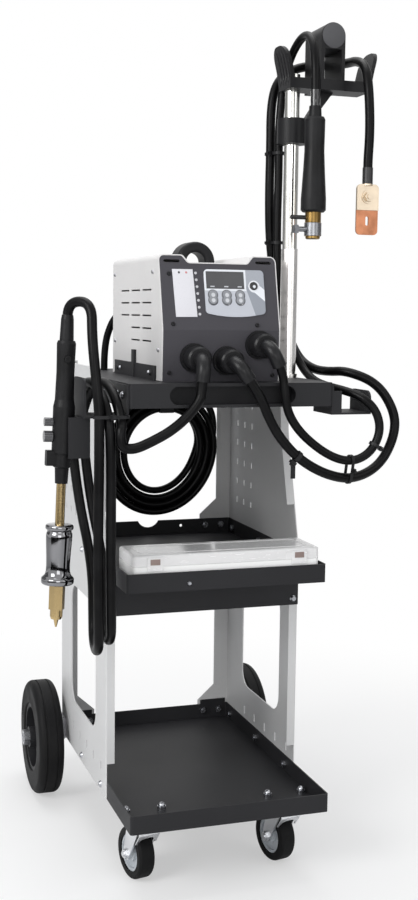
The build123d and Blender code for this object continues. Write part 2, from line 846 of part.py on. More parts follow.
def horn(side, foot_x):
    tip_x = foot_x + side * horn_lean
    middle_x = foot_x + side * horn_lean * horn_bow
    foot_z = holder_low + 2
    middle_z = (foot_z + horn_top) / 2
    with BuildPart() as blade:
        with BuildSketch(xz(horn_back)):
            with BuildLine():
                ThreePointArc((foot_x, foot_z), (middle_x, middle_z), (tip_x, horn_top))
                Line((tip_x, horn_top), (tip_x - side * horn_sheet, horn_top))
                ThreePointArc((tip_x - side * horn_sheet, horn_top), (middle_x - side * horn_sheet, middle_z),
                              (foot_x - side * horn_sheet, foot_z))
                Line((foot_x - side * horn_sheet, foot_z), (foot_x, foot_z))
            make_face()
        extrude(amount=horn_back - holder_front)
        with BuildSketch(yz(min(foot_x, tip_x) - 2 * horn_sheet)):
            with Locations(((holder_front + horn_back) / 2, holder_low)):
                RectangleRounded(horn_back - holder_front, 2 * (horn_top - holder_low), horn_r)
        extrude(amount=horn_lean + 4 * horn_sheet, mode=Mode.INTERSECT)
    return blade


left_horn = horn(-1, left_horn_x)
right_horn = horn(1, holder_right - horn_lean)
with BuildPart() as tool_holder:
    block(left_horn_x - horn_sheet / 2, holder_right - horn_lean - horn_sheet / 2, holder_front, holder_back,
          holder_low, holder_high)
    add(left_horn.part)
    add(right_horn.part)
    with BuildSketch(xz(saddle_back)):
        with Locations((saddle_x, saddle_z)):
            Circle(saddle_r)
        with Locations((saddle_x, (saddle_z + holder_low) / 2)):
            Rectangle(2 * saddle_r, saddle_z - holder_low)
        with Locations((saddle_x, (saddle_z - saddle_r + holder_high) / 2)):
            Rectangle(2 * (saddle_r - saddle_wall), saddle_z - saddle_r - holder_high, mode=Mode.SUBTRACT)
    extrude(amount=saddle_back - saddle_front)
    with Locations((mast_x, mast_y, collar_low)):
        Cylinder(collar_r, collar_height, align=low_end)
    with BuildSketch(xz(mast_y + brace_depth / 2)):
        Polygon((mast_x + upper_r, collar_high - brace_width), (mast_x + collar_r, collar_high - brace_width),
                (saddle_x + brace_width, holder_low + 1), (saddle_x - brace_width / 2, holder_low + 1),
                align=None)
    extrude(amount=brace_depth)
    with Locations((mast_x, mast_y, collar_low)):
        Cylinder(upper_r + easy, 2 * (mast_top - collar_low), mode=Mode.SUBTRACT)
finish(tool_holder, "tool_holder")

# Welder unit: planes of the bent front
low_up = Vector(0, crease_y - face_bottom_y, crease_z - shelf_top).normalized()
low_face = Plane(origin=(0, face_bottom_y, shelf_top), x_dir=(1, 0, 0), z_dir=(0, -low_up.Z, low_up.Y))
high_up = Vector(0, face_top_y - crease_y, unit_top - crease_z).normalized()
high_face = Plane(origin=(0, crease_y, crease_z), x_dir=(1, 0, 0), z_dir=(0, -high_up.Z, high_up.Y))


def on_low(x, z):
    return (x, (z - shelf_top) / low_up.Z)


def on_high(x, z):
    return (x, (z - crease_z) / high_up.Z)


def unit_outline(inset, bottom):
    side = unit_half - inset
    channel = channel_half + inset
    foot = channel - channel_slope
    top = unit_top - inset
    floor = channel_floor - inset
    corners = [(-side, bottom), (-side, top), (-channel, top), (-foot, floor),
               (foot, floor), (channel, top), (side, top), (side, bottom)]
    return [(unit_mid + x, z) for x, z in corners]


front_line = [(face_bottom_y, shelf_top), (crease_y, crease_z), (face_top_y, unit_top)]
back_line = [(y + face_sheet, z) for y, z in reversed(front_line)]

with BuildPart() as unit_base:
    base_half = unit_half - skin - free
    block(unit_mid - base_half, unit_mid + base_half, face_bottom_y + face_sheet + fit, unit_back,
          shelf_top, shelf_top + sheet)
    for s in sides:
        edge = unit_mid + s * base_half
        block(edge, edge - s * skin, face_bottom_y + 4 * sheet, unit_back, shelf_top, shelf_top + 22)
finish(unit_base, "unit_base")

with BuildPart() as unit_cover:
    with BuildSketch(xz(unit_back)):
        with BuildLine():
            FilletPolyline(*unit_outline(0, shelf_top + 1), radius=[0, 9, 6, 5, 5, 6, 9, 0], close=True)
        make_face()
        with BuildLine():
            FilletPolyline(*unit_outline(skin, shelf_top), radius=[0, 7.5, 4.5, 6.5, 6.5, 4.5, 7.5, 0],
                           close=True)
        make_face(mode=Mode.SUBTRACT)
    extrude(amount=unit_back - crease_y)
    with BuildSketch(yz(unit_mid - unit_half - 5)):
        Polygon((crease_y - 20, shelf_top - 5), (face_bottom_y, shelf_top - 5), *front_line,
                (face_top_y, unit_top + 5), (crease_y - 20, unit_top + 5), align=None)
    extrude(amount=2 * unit_half + 10, mode=Mode.SUBTRACT)
    slits = []
    for row, z in enumerate(vent_rows):
        for y in vent_columns[:3 if row < 3 else 2]:
            slits.append((y, z))
    with BuildSketch(yz(0)):
        with Locations(*slits):
            SlotOverall(vent_length, vent_height)
    extrude(amount=unit_half + 5, both=True, mode=Mode.SUBTRACT)
finish(unit_cover, "unit_cover")

key_hole = free + 0.2


# Each rocker key has two round ends
def key_pair(x):
    across, high = on_high(x, key_z)
    return [(across, high - key_eye_gap / 2), (across, high + key_eye_gap / 2)]


key_eyes = [eye for x in key_columns for eye in key_pair(x)]
with BuildPart() as unit_front:
    with BuildSketch(yz(unit_mid - unit_half)):
        Polygon(*front_line, *back_line, align=None)
    extrude(amount=2 * unit_half)
    with BuildSketch(xz(face_top_y + 30)):
        with BuildLine():
            FilletPolyline(*unit_outline(skin + easy, shelf_top), radius=[0, 7.4, 4.4, 6.6, 6.6, 4.4, 7.4, 0],
                           close=True)
        make_face()
    extrude(amount=face_top_y + 30 - crease_y + 20, mode=Mode.INTERSECT)
    with BuildSketch(low_face):
        with Locations(*[on_low(x, z) for x, z in socket_places]):
            Circle(socket_neck_r + easy)
    extrude(amount=3 * face_sheet, both=True, mode=Mode.SUBTRACT)
    with BuildSketch(high_face):
        with Locations(*key_eyes):
            Circle(key_eye_r + key_hole)
        with Locations(on_high(mode_x, mode_z)):
            Circle(mode_r + free)
        with Locations(*[on_high(unit_mid + s * face_slot_x, unit_top - face_slot_drop) for s in sides]):
            SlotOverall(face_slot, face_slot_height)
    extrude(amount=3 * face_sheet, both=True, mode=Mode.SUBTRACT)
finish(unit_front, "unit_front")

fan_seat = Plane(origin=(fan_x, unit_back, fan_z), x_dir=(-1, 0, 0), z_dir=(0, 1, 0))
with BuildPart() as unit_rear:
    with BuildSketch(xz(unit_back + face_sheet)):
        with BuildLine():
            FilletPolyline(*unit_outline(0, shelf_top), radius=[0, 9, 6, 5, 5, 6, 9, 0], close=True)
        make_face()
        with Locations((switch_x, switch_z)):
            Rectangle(switch_width + 2 * key_hole, switch_height + 2 * key_hole, mode=Mode.SUBTRACT)
        with Locations((gland_x, gland_z)):
            Circle(gland_r + easy, mode=Mode.SUBTRACT)
    extrude(amount=face_sheet)
    with BuildSketch(fan_seat):
        for ring in (0.42, 0.64, 0.86):
            with PolarLocations(fan_r * ring, 4, start_angle=45):
                SlotOverall(fan_r * ring, 5.5, rotation=90)
    extrude(amount=2 * face_sheet, mode=Mode.SUBTRACT)
    with Locations(fan_seat):
        Cylinder(fan_boss_r, fan_boss, align=high_end)
        Cylinder(fan_shaft_r + fit, 2 * fan_boss, align=high_end, mode=Mode.SUBTRACT)
    gland_face = Plane(origin=(gland_x, unit_back + face_sheet, gland_z), x_dir=(-1, 0, 0), z_dir=(0, 1, 0))
    with Locations(gland_face.offset(fit)):
        Cylinder(gland_flange_r, 4, align=low_end)
        Cylinder(gland_r + 1, gland_length, align=low_end)
        Cylinder(gland_r, 8, align=high_end)
finish(unit_rear, "unit_rear")

with BuildPart() as unit_clamps:
    for s in sides:
        near = unit_mid + s * unit_half
        block(near, near + s * clamp_sheet, clamp_front, clamp_back, shelf_top, shelf_top + clamp_height)
        block(near, near + s * (clamp_sheet + 1.5), strap_y - strap_width / 2, strap_y + strap_width / 2,
              shelf_top, shelf_top + strap_height)
        for y in (clamp_front + 22, clamp_back - 22):
            with Locations(Plane(origin=(near + s * clamp_sheet, y, shelf_top + clamp_height / 2),
                                 x_dir=(0, 1, 0), z_dir=(s, 0, 0))):
                Cone(5, 3.4, 2.4, align=low_end)
finish(unit_clamps, "unit_clamps")

with BuildPart() as unit_handle:
    foot_z = channel_floor + handle_foot_h
    left_leg = unit_mid - handle_half
    right_leg = unit_mid + handle_half
    with BuildLine() as bow:
        Line((left_leg, handle_y, channel_floor), (left_leg, handle_y, foot_z + handle_leg))
        ThreePointArc((left_leg, handle_y, foot_z + handle_leg),
                      (unit_mid, handle_y, foot_z + handle_leg + handle_half),
                      (right_leg, handle_y, foot_z + handle_leg))
        Line((right_leg, handle_y, foot_z + handle_leg), (right_leg, handle_y, channel_floor))
    with BuildSketch(Plane(origin=(left_leg, handle_y, channel_floor))):
        RectangleRounded(handle_thick, handle_depth, handle_round)
    sweep(path=bow.wire())
    with BuildSketch(Plane.XY.offset(channel_floor)):
        with Locations((left_leg, handle_y), (right_leg, handle_y)):
            RectangleRounded(handle_thick + 2 * handle_foot_rim, handle_depth + 2 * handle_foot_rim,
                             handle_round + handle_foot_rim)
    extrude(amount=handle_foot_h)
finish(unit_handle, "unit_handle")

with BuildPart() as control_panel:
    with BuildSketch(high_face) as overlay:
        low = on_high(0, control_low)[1]
        high = on_high(0, control_high)[1]
        with BuildLine():
            Polyline((control_left, low), (control_left, high), (control_right, high), (control_right, low))
            ThreePointArc((control_right, low), ((control_left + control_right) / 2, low - control_sag),
                          (control_left, low))
        make_face()
        fillet(overlay.vertices(), control_r)
        low = on_high(0, display_low)[1]
        high = on_high(0, display_high)[1]
        with Locations(((display_left + display_right) / 2, (low + high) / 2)):
            Rectangle(display_right - display_left + 2 * easy, high - low + 2 * easy, mode=Mode.SUBTRACT)
        with Locations(*key_eyes):
            Circle(key_eye_r + key_hole, mode=Mode.SUBTRACT)
        with Locations(on_high(mode_x, mode_z)):
            Circle(mode_r + free, mode=Mode.SUBTRACT)
    extrude(amount=control_sheet)
finish(control_panel, "control_panel")

with BuildPart() as display_window:
    with BuildSketch(high_face):
        low = on_high(0, display_low)[1]
        high = on_high(0, display_high)[1]
        with Locations(((display_left + display_right) / 2, (low + high) / 2)):
            Rectangle(display_right - display_left, high - low)
    extrude(amount=display_h)
finish(display_window, "display_window")

for x, name in zip(key_columns, ("left", "middle", "right")):
    with BuildPart() as key:
        with BuildSketch(high_face.offset(-key_depth)):
            with Locations(*key_pair(x)):
                Circle(key_eye_r)
        extrude(amount=key_depth + key_stand)
        fillet(key.edges().filter_by(
            lambda e: high_face.to_local_coords(e.center()).Z > key_stand - 0.1), 1.0)
    finish(key, f"key_{name}")

with BuildPart() as mode_button:
    with BuildSketch(high_face.offset(-key_depth)):
        with Locations(on_high(mode_x, mode_z)):
            Circle(mode_r)
    extrude(amount=key_depth + key_stand)
    fillet(mode_button.edges().filter_by(
        lambda e: high_face.to_local_coords(e.center()).Z > key_stand - 0.1), 1.0)
finish(mode_button, "mode_button")

with BuildPart() as output_sockets:
    with BuildSketch(low_face):
        with Locations(*[on_low(x, z) for x, z in socket_places]):
            Circle(socket_r)
    extrude(amount=socket_h)
    with BuildSketch(low_face):
        with Locations(*[on_low(x, z) for x, z in socket_places]):
            Circle(socket_neck_r)
    extrude(amount=-socket_neck)
finish(output_sockets, "output_sockets")


# Plugs with bent boots
def plug_route(index):
    x, y = on_low(*socket_places[index])
    dx, dy = plug_drops[index]
    size = sqrt(dx * dx + dy * dy)
    reach = socket_h + plug_length
    drop = boot_bend + boot_tail
    return [low_face.from_local_coords(Vector(x, y, reach - 4)),
            low_face.from_local_coords(Vector(x, y, reach + boot_bend)),
            low_face.from_local_coords(Vector(x + drop * dx / size, y + drop * dy / size, reach + boot_bend))]


def output_plug(index):
    route = plug_route(index)
    x, y = on_low(*socket_places[index])
    with BuildPart() as plug:
        with BuildSketch(low_face.offset(socket_h)):
            with Locations((x, y)):
                Circle(plug_r)
        extrude(amount=plug_length)
        chamfer(plug.faces().sort_by(Axis.Y)[0].edges(), 2.5)
        with BuildLine() as line:
            FilletPolyline(*route, radius=boot_bend - 1)
        with BuildSketch(Plane(origin=route[0], z_dir=low_face.z_dir)):
            Circle(boot_r)
        sweep(path=line.wire())
    return plug


plug_parts = [output_plug(i).part for i in range(len(socket_places))]
with BuildPart() as output_plugs:
    for piece in plug_parts:
        add(piece)
finish(output_plugs, "output_plugs")

# Inside of the unit: transformer with its winding, and the fan
core_half = 46.0
core_front = -150.0
core_back = -66.0
core_base = shelf_top + sheet
core_height = 104.0
core_leg = 22.0
winding_wall = 18.0
with BuildPart() as transformer:
    block(-core_half, core_half, core_front, core_back, core_base, core_base + core_height)
    for s in sides:
        block(s * core_leg, s * (core_half - 4), core_front - 1, core_back + 1,
              core_base + core_leg, core_base + core_height - core_leg, mode=Mode.SUBTRACT)
    with BuildSketch(Plane.XY.offset(core_base + core_leg + free)):
        with Locations((0, (core_front + core_back) / 2)):
            RectangleRounded(2 * (core_leg + winding_wall), core_back - core_front + 2 * winding_wall, 12)
            Rectangle(2 * (core_leg + free), core_back - core_front + 2 * free, mode=Mode.SUBTRACT)
    extrude(amount=core_height - 2 * core_leg - 2 * free)
finish(transformer, "transformer")

with BuildPart() as fan_rotor:
    rotor_seat = fan_seat.offset(-fan_boss - rotor_gap)
    with Locations(rotor_seat):
        Cylinder(rotor_hub_r, rotor_depth, align=high_end)
        Cylinder(fan_shaft_r, fan_boss + rotor_gap - 0.5, align=low_end)
    for i in range(blades):
        turn = 360 / blades * i
        spot = Pos((rotor_hub_r + rotor_r) / 2 - 1, 0, -rotor_depth / 2)
        with Locations(rotor_seat * Rot(0, 0, turn) * spot * Rot(38, 0, 0)):
            Box(rotor_r - rotor_hub_r + 2, 1.6, rotor_depth)
finish(fan_rotor, "fan_rotor")

switch_face = Plane(origin=(switch_x, unit_back + face_sheet, switch_z), x_dir=(-1, 0, 0), z_dir=(0, 1, 0))
with BuildPart() as mains_switch:
    with BuildSketch(switch_face.offset(-switch_depth)):
        Rectangle(switch_width, switch_height)
    extrude(amount=switch_depth + switch_stand)
    with BuildSketch(yz(switch_x - switch_width)):
        with Locations((unit_back + face_sheet + switch_stand + 1.0, switch_z)):
            Circle(2.0)
    extrude(amount=2 * switch_width, mode=Mode.SUBTRACT)
finish(mains_switch, "mains_switch")

# Pulling gun
gun_side = Plane(origin=gun_top, x_dir=gun_frame.x_dir, z_dir=(0, -1, 0))
gun_axis = Axis(gun_top, gun_up)
with BuildPart() as gun_body:
    with BuildSketch(gun_side):
        Polygon((0, 0), (cable_boot_r - 1, 0), (cable_boot_r, -6), (cable_boot_r + 1, -boot_end),
                (gun_handle_r - 1.5, -boot_end), (gun_handle_r, -boot_end - 4), (gun_handle_r - 0.8, -80),
                (gun_handle_r, -handle_end), (gun_body_r, -body_start), (gun_body_r, -body_end),
                (gun_collar_r, -body_end - 3), (gun_collar_r, -collar_end), (nose_r + 1, -collar_end - 2),
                (nose_r, -nose_end), (0, -nose_end), align=None)
    revolve(axis=gun_axis)
    with Locations(gun_frame.offset(-nose_end)):
        Cylinder(rod_r + easy, 2 * rod_insert, mode=Mode.SUBTRACT)
    for i, at in enumerate(knob_at):
        seat = Plane(origin=gun_at(at), x_dir=(0, 1, 0), z_dir=-gun_frame.x_dir)
        with Locations(seat.offset(gun_body_r - knob_stem)):
            Cylinder(knob_stem_r + easy, 2 * knob_stem, align=low_end, mode=Mode.SUBTRACT)
    trigger_seat = Plane(origin=gun_at(trigger_at), x_dir=gun_frame.x_dir, z_dir=(0, -1, 0))
    with Locations(trigger_seat.offset(gun_handle_r - 8)):
        Cylinder(trigger_r + free, 20, align=low_end, mode=Mode.SUBTRACT)
    with BuildSketch(Plane(origin=gun_at(collar_end - 12), x_dir=(0, 1, 0), z_dir=-gun_frame.x_dir)):
        RectangleRounded(15, 22, 3)
    extrude(amount=gun_body_r + 8)
finish(gun_body, "gun_body")

with BuildPart() as gun_trigger:
    with Locations(trigger_seat.offset(gun_handle_r - 5)):
        Cylinder(trigger_r, 5 + trigger_stand, align=low_end)
    fillet(gun_trigger.faces().sort_by(Axis.Y)[0].edges(), 1.5)
finish(gun_trigger, "gun_trigger")

with BuildPart() as gun_knobs:
    for at, size in zip(knob_at, knob_r):
        seat = Plane(origin=gun_at(at), x_dir=(0, 1, 0), z_dir=-gun_frame.x_dir)
        with Locations(seat.offset(gun_body_r - knob_stem + easy)):
            Cylinder(knob_stem_r, knob_stem + 1, align=low_end)
        with BuildSketch(seat.offset(gun_body_r + easy)):
            Circle(size)
            with PolarLocations(size, 16):
                Circle(0.7, mode=Mode.SUBTRACT)
        extrude(amount=knob_length)
finish(gun_knobs, "gun_knobs")

rod_low = hammer_end + chuck_gap + rod_insert
with BuildPart() as gun_rod:
    with Locations(gun_frame.offset(-nose_end + rod_insert - easy)):
        Cylinder(rod_r, rod_low - nose_end + rod_insert - 2 * easy, align=high_end)
finish(gun_rod, "gun_rod")

with BuildPart() as slide_hammer:
    with BuildSketch(gun_side):
        inner = rod_r + 0.08
        Polygon((inner, -hammer_top), (hammer_flange_top_r - 2, -hammer_top),
                (hammer_flange_top_r, -hammer_top - 2), (hammer_flange_top_r, -hammer_top - 6),
                (hammer_waist_r, -hammer_top - 9), (hammer_waist_r, -hammer_top - 12),
                (hammer_barrel_r - 2, -hammer_top - 14), (hammer_barrel_r, -hammer_top - 20),
                (hammer_barrel_r - 1.5, (-hammer_top - hammer_end) / 2), (hammer_barrel_r, -hammer_end + 16),
                (hammer_flange_r, -hammer_end + 12), (hammer_flange_r, -hammer_end + 1.5),
                (hammer_flange_r - 1.5, -hammer_end), (inner, -hammer_end), align=None)
    revolve(axis=gun_axis)
finish(slide_hammer, "slide_hammer")

with BuildPart() as gun_chuck:
    with BuildSketch(gun_frame.offset(-hammer_end - chuck_gap)):
        RegularPolygon(chuck_r, 6)
    extrude(amount=-(chuck_end - hammer_end - chuck_gap - 14))
    with BuildSketch(gun_side):
        Polygon((0, -chuck_end + 15), (chuck_r - 2.5, -chuck_end + 15), (chuck_r - 2.5, -chuck_end + 4),
                (chuck_r - 4, -chuck_end), (4, -chuck_end), (1.2, -tip_end), (0, -tip_end), align=None)
    revolve(axis=gun_axis)
    with Locations(gun_frame.offset(-hammer_end - chuck_gap)):
        Cylinder(rod_r + easy, 2 * rod_insert, mode=Mode.SUBTRACT)
finish(gun_chuck, "gun_chuck")

# Hand tool hung from the holder
tool_side = Plane(origin=(tool_x, hang_y, 0), x_dir=(1, 0, 0), z_dir=(0, -1, 0))
tool_axis = Axis((tool_x, hang_y, 0), (0, 0, 1))
with BuildPart() as hand_tool_grip:
    with BuildSketch(tool_side):
        Polygon((0, tool_top + tool_boot), (tool_boot_r, tool_top + tool_boot), (tool_boot_r + 1, tool_top),
                (tool_grip_r - 2, tool_top), (tool_grip_r, tool_top - 4), (tool_grip_r - 0.5, tool_top - 50),
                (tool_grip_r + 1, tool_top - 80), (tool_grip_low_r, tool_low + 20),
                (tool_grip_low_r, tool_low + 3), (tool_grip_low_r - 3, tool_low), (0, tool_low), align=None)
    revolve(axis=tool_axis)
finish(hand_tool_grip, "hand_tool_grip")

clamp_top = tool_low - tool_brass
clamp_low = clamp_top - tool_clamp
with BuildPart() as hand_tool_chuck:
    with BuildSketch(tool_side):
        Polygon((0, tool_low), (tool_brass_r, tool_low), (tool_brass_r, clamp_top + 1),
                (tool_clamp_r, clamp_top), (tool_clamp_r, clamp_low), (tool_jaw_r, clamp_low - 1),
                (tool_jaw_r, tool_end + 1.5), (tool_jaw_r - 1.5, tool_end), (0, tool_end), align=None)
    revolve(axis=tool_axis)
    bolt_z = (clamp_top + clamp_low) / 2
    bolt_seat = Plane(origin=(tool_x, hang_y, bolt_z), x_dir=(0, 1, 0), z_dir=(-1, 0, 0))
    with Locations(bolt_seat):
        Cylinder(tool_bolt_r - 3, tool_bolt_reach, align=low_end)
    with BuildSketch(bolt_seat.offset(tool_bolt_reach - tool_bolt_head)):
        RegularPolygon(tool_bolt_r, 6)
    extrude(amount=tool_bolt_head)
    screw_seat = Plane(origin=(tool_x, hang_y, tool_low - tool_brass / 2), x_dir=(0, 1, 0), z_dir=(-1, 0, 0))
    with Locations(screw_seat):
        Cylinder(tool_screw_r, tool_screw_reach, align=low_end)
finish(hand_tool_chuck, "hand_tool_chuck")

# Accessory box and its lid
box_mid = (box_front + box_back) / 2
box_depth = box_back - box_front
box_floor = mid_floor + sheet
box_split = box_floor + box_base_height
box_top = box_split + box_lid_height
hinge_y = box_back + hinge_out
with BuildPart() as box_base:
    with BuildSketch(Plane.XY.offset(box_floor)):
        with Locations((0, box_mid)):
            RectangleRounded(2 * box_half, box_depth, box_r)
    extrude(amount=box_split - free - box_floor)
    with BuildSketch(Plane.XY.offset(box_floor + box_wall)):
        with Locations((0, box_mid)):
            RectangleRounded(2 * (box_half - box_wall), box_depth - 2 * box_wall, box_r - box_wall)
    extrude(amount=box_split, mode=Mode.SUBTRACT)
    for x in divider_x:
        block(x - box_wall / 2, x + box_wall / 2, box_front + box_wall / 2, box_back - box_wall / 2,
              box_floor, box_floor + divider_height)
    for s in sides:
        for t in sides:
            x0 = s * hinge_x + t * (knuckle_half + free)
            block(x0, x0 + t * lug_wall, box_back - box_wall, hinge_y, box_split - 12, box_split - 4)
            with BuildSketch(yz(min(x0, x0 + t * lug_wall))):
                with Locations((hinge_y, box_split)):
                    Circle(hinge_knuckle_r)
                with Locations((hinge_y, box_split - 6)):
                    Rectangle(2 * hinge_knuckle_r, 12)
            extrude(amount=lug_wall)
        with Locations(Plane(origin=(s * hinge_x, hinge_y, box_split), x_dir=(0, 1, 0), z_dir=(1, 0, 0))):
            Cylinder(hinge_pin_r, 2 * (knuckle_half + free + lug_wall))
finish(box_base, "box_base")

with BuildPart() as box_lid:
    with BuildSketch(Plane.XY.offset(box_split)):
        with Locations((0, box_mid)):
            RectangleRounded(2 * box_half, box_depth, box_r)
    extrude(amount=box_top - box_split)
    fillet(box_lid.faces().sort_by(Axis.Z)[-1].edges(), 4)
    with BuildSketch(Plane.XY.offset(box_split)):
        with Locations((0, box_mid)):
            RectangleRounded(2 * (box_half - box_wall), box_depth - 2 * box_wall, box_r - box_wall)
    extrude(amount=box_top - box_split - box_wall, mode=Mode.SUBTRACT)
    for s in sides:
        with BuildSketch(yz(s * hinge_x - knuckle_half)):
            with Locations((hinge_y, box_split)):
                Circle(hinge_knuckle_r)
            Polygon((hinge_y - 1, box_split), (hinge_y, box_split + hinge_knuckle_r),
                    (box_back - box_wall / 2, box_split + 2 * hinge_knuckle_r),
                    (box_back - box_wall / 2, box_split + 1), align=None)
            with Locations((hinge_y, box_split)):
                Circle(hinge_pin_r + fit, mode=Mode.SUBTRACT)
        extrude(amount=2 * knuckle_half)
        block(s * latch_x - latch_width / 2, s * latch_x + latch_width / 2, box_front - latch_sheet / 2,
              box_front + box_wall / 2, box_split, box_split + latch_height - 4)
finish(box_lid, "box_lid")


# Cords. A free stretch is straight runs joined by arcs that touch them.
def corner_radii(points):
    runs = [(b - a).length for a, b in zip(points, points[1:])]
    turns = [0.0]
    for a, b, c in zip(points, points[1:], points[2:]):
        cosine = (b - a).normalized().dot((c - b).normalized())
        turns.append(tan(acos(max(-1.0, min(1.0, cosine))) / 2))
    turns.append(0.0)
    radii = []
    for i in range(1, len(points) - 1):
        before = runs[i - 1] / (turns[i - 1] + turns[i])
        after = runs[i] / (turns[i] + turns[i + 1])
        radii.append(0.97 * min(before, after))
    return radii


def least_gap(route, diameter):
    count = int(route.length / (diameter * 0.5))
    step = route.length / count
    spots = [route.position_at(i / count) for i in range(count + 1)]
    skip = int(3.2 * diameter / step) + 1
    best = 1e9
    for i, a in enumerate(spots):
        for b in spots[i + skip:]:
            best = min(best, (a - b).length)
    return best - diameter


def cord(name, route, diameter):
    points = [Vector(*p) for p in route]
    radii = corner_radii(points)
    with BuildPart() as tube:
        with BuildLine() as line:
            FilletPolyline(*points, radius=radii)
        with BuildSketch(Plane(origin=points[0], z_dir=points[1] - points[0])):
            Circle(diameter / 2)
        sweep(path=line.wire())
    length = line.wire().length
    share = tube.part.volume / (pi * diameter ** 2 / 4 * length)
    print(f"{name}: length {length:.0f} radii {min(radii):.0f} to {max(radii):.0f} volume share {share:.3f}")
    return tube


# A wound stretch is pairs of arcs through the places and directions of a formula.
def wound(name, spots, diameter):
    with BuildPart() as tube:
        with BuildLine() as line:
            first, heading = spots[0]
            Line(first - heading * diameter, first)
            for (p0, t0), (p1, t1) in zip(spots, spots[1:]):
                chord = p1 - p0
                both = chord.dot(t0 + t1)
                bend = 2 * (1 - t0.dot(t1))
                if bend < 1e-9:
                    reach = chord.dot(chord) / (4 * chord.dot(t1))
                else:
                    reach = (sqrt(both * both + bend * chord.dot(chord)) - both) / bend
                joint = (p0 + p1 + (t0 - t1) * reach) * 0.5
                cross = ((p1 - t1 * reach) - (p0 + t0 * reach)).normalized()
                for a, b, t in ((p0, joint, t0), (joint, p1, cross)):
                    if (b - a).normalized().cross(t).length < 1e-4:
                        Line(a, b)
                    else:
                        TangentArc(a, b, tangent=t)
            last, heading = spots[-1]
            Line(last, last + heading * diameter)
        with BuildSketch(Plane(origin=spots[0][0] - spots[0][1] * diameter, z_dir=spots[0][1])):
            Circle(diameter / 2)
        sweep(path=line.wire())
    route = line.wire()
    arcs = [e.radius for e in route.edges() if e.geom_type == GeomType.CIRCLE]
    share = tube.part.volume / (pi * diameter ** 2 / 4 * route.length)
    print(f"{name}: length {route.length:.0f} least radius {min(arcs):.0f} least gap "
          f"{least_gap(route, diameter):.2f} volume share {share:.3f} solids {len(tube.part.solids())}")
    return tube


def boot_exit(index):
    route = plug_route(index)
    return route[2], (route[2] - route[1]).normalized()


# Gun cable: two loops over the left hook
strand_y = -289.0
hank_lean = Vector(-0.22, 0, 0.97).normalized()
loop_rear = -145.0
loop_low_rear = -205.0
loop_bend = (strand_y + loop_low_rear) / 2
loop_top_mid = (strand_y + loop_rear) / 2
loop_top_r = (loop_rear - strand_y) / 2
loop_low_r = (loop_low_rear - strand_y) / 2
loop_shoulder = 688.0
up = Vector(0, 0, 1)
back = Vector(0, 1, 0)
hank = [(Vector(-167, strand_y, 706), hank_lean)]
for x_over, x_rear, x_low, x_front, x_next, low in ((-179, -196, -171, -184, -184, 390),
                                                    (-197, -214, -188.5, -202, -201, 376)):
    hank.append((Vector(x_over, loop_top_mid, loop_shoulder + loop_top_r), back))
    hank.append((Vector(x_rear, loop_rear, loop_shoulder), up * -1))
    hank.append((Vector(x_low, loop_low_rear, low + loop_low_r), (up * -1 - back * 0.1).normalized()))
    hank.append((Vector((x_low + x_front) / 2, loop_bend, low), back * -1))
    hank.append((Vector(x_front, strand_y, low + loop_low_r), up))
    hank.append((Vector(x_next, strand_y, loop_shoulder), up))
gun_hank = wound("gun_hank", hank, cable_d)
finish(gun_hank, "gun_hank")

hank_start = hank[0][0] - hank_lean * cable_d
hank_end = hank[-1][0] + up * cable_d
start, heading = boot_exit(0)
gun_lead_route = [start, start + heading * 14, (-54, -288, 736), (-73, -288, 712), (-101, -288, 695),
                  (-130, -288.5, 682), hank_start - hank_lean * 26, hank_start]
arch_z = gun_top[2] + 24
gun_tail_route = [hank_end, hank_end + up * 20, (-205, -287, 768), (-209, -279, 824),
                  (-207, -270, arch_z), gun_frame.from_local_coords(Vector(0, 0, 24)), gun_top]
gun_lead = cord("gun_cable lead", gun_lead_route, cable_d)
gun_tail = cord("gun_cable tail", gun_tail_route, cable_d)
with BuildPart() as gun_cable:
    add(gun_lead.part)
    add(gun_tail.part)
finish(gun_cable, "gun_cable")

# Earth cable: wide loop on the right, up behind the mast, over the holder, down to the plate
start, heading = boot_exit(1)
sleeve_top = plate_high + sleeve_length
earth_route = [start, start + heading * 14, (38, -289, 738), (51, -290, 708), (68, -291, 680),
               (97, -292, 650), (140, -290, 626), (188, -283, 616), (238, -270, 634), (268, -257, 677),
               (269, -250, 714), (241, -237, 756), (204, -216, 778), (184, -180, 788), (178, -138, 796),
               (171, -96, 815), (157, -78, 856), (138, -78, 912), (126, -82, 975), (123, -84, 1045),
               (124, -84, 1118), (124, -82, 1185), (134, -79, 1224), (162, -77, 1246), (197, -78, 1254),
               (224, -92, 1254), (235, -122, 1252), (236, -158, 1250), (235, -192, 1236),
               (234, -207, 1200), (236, -209, 1155),
               (plate_x + 1, hang_y - 1, sleeve_top + 40), (plate_x, hang_y, sleeve_top + 14),
               (plate_x, hang_y, sleeve_top)]
earth_cable = cord("earth_cable", earth_route, cable_d)
finish(earth_cable, "earth_cable")

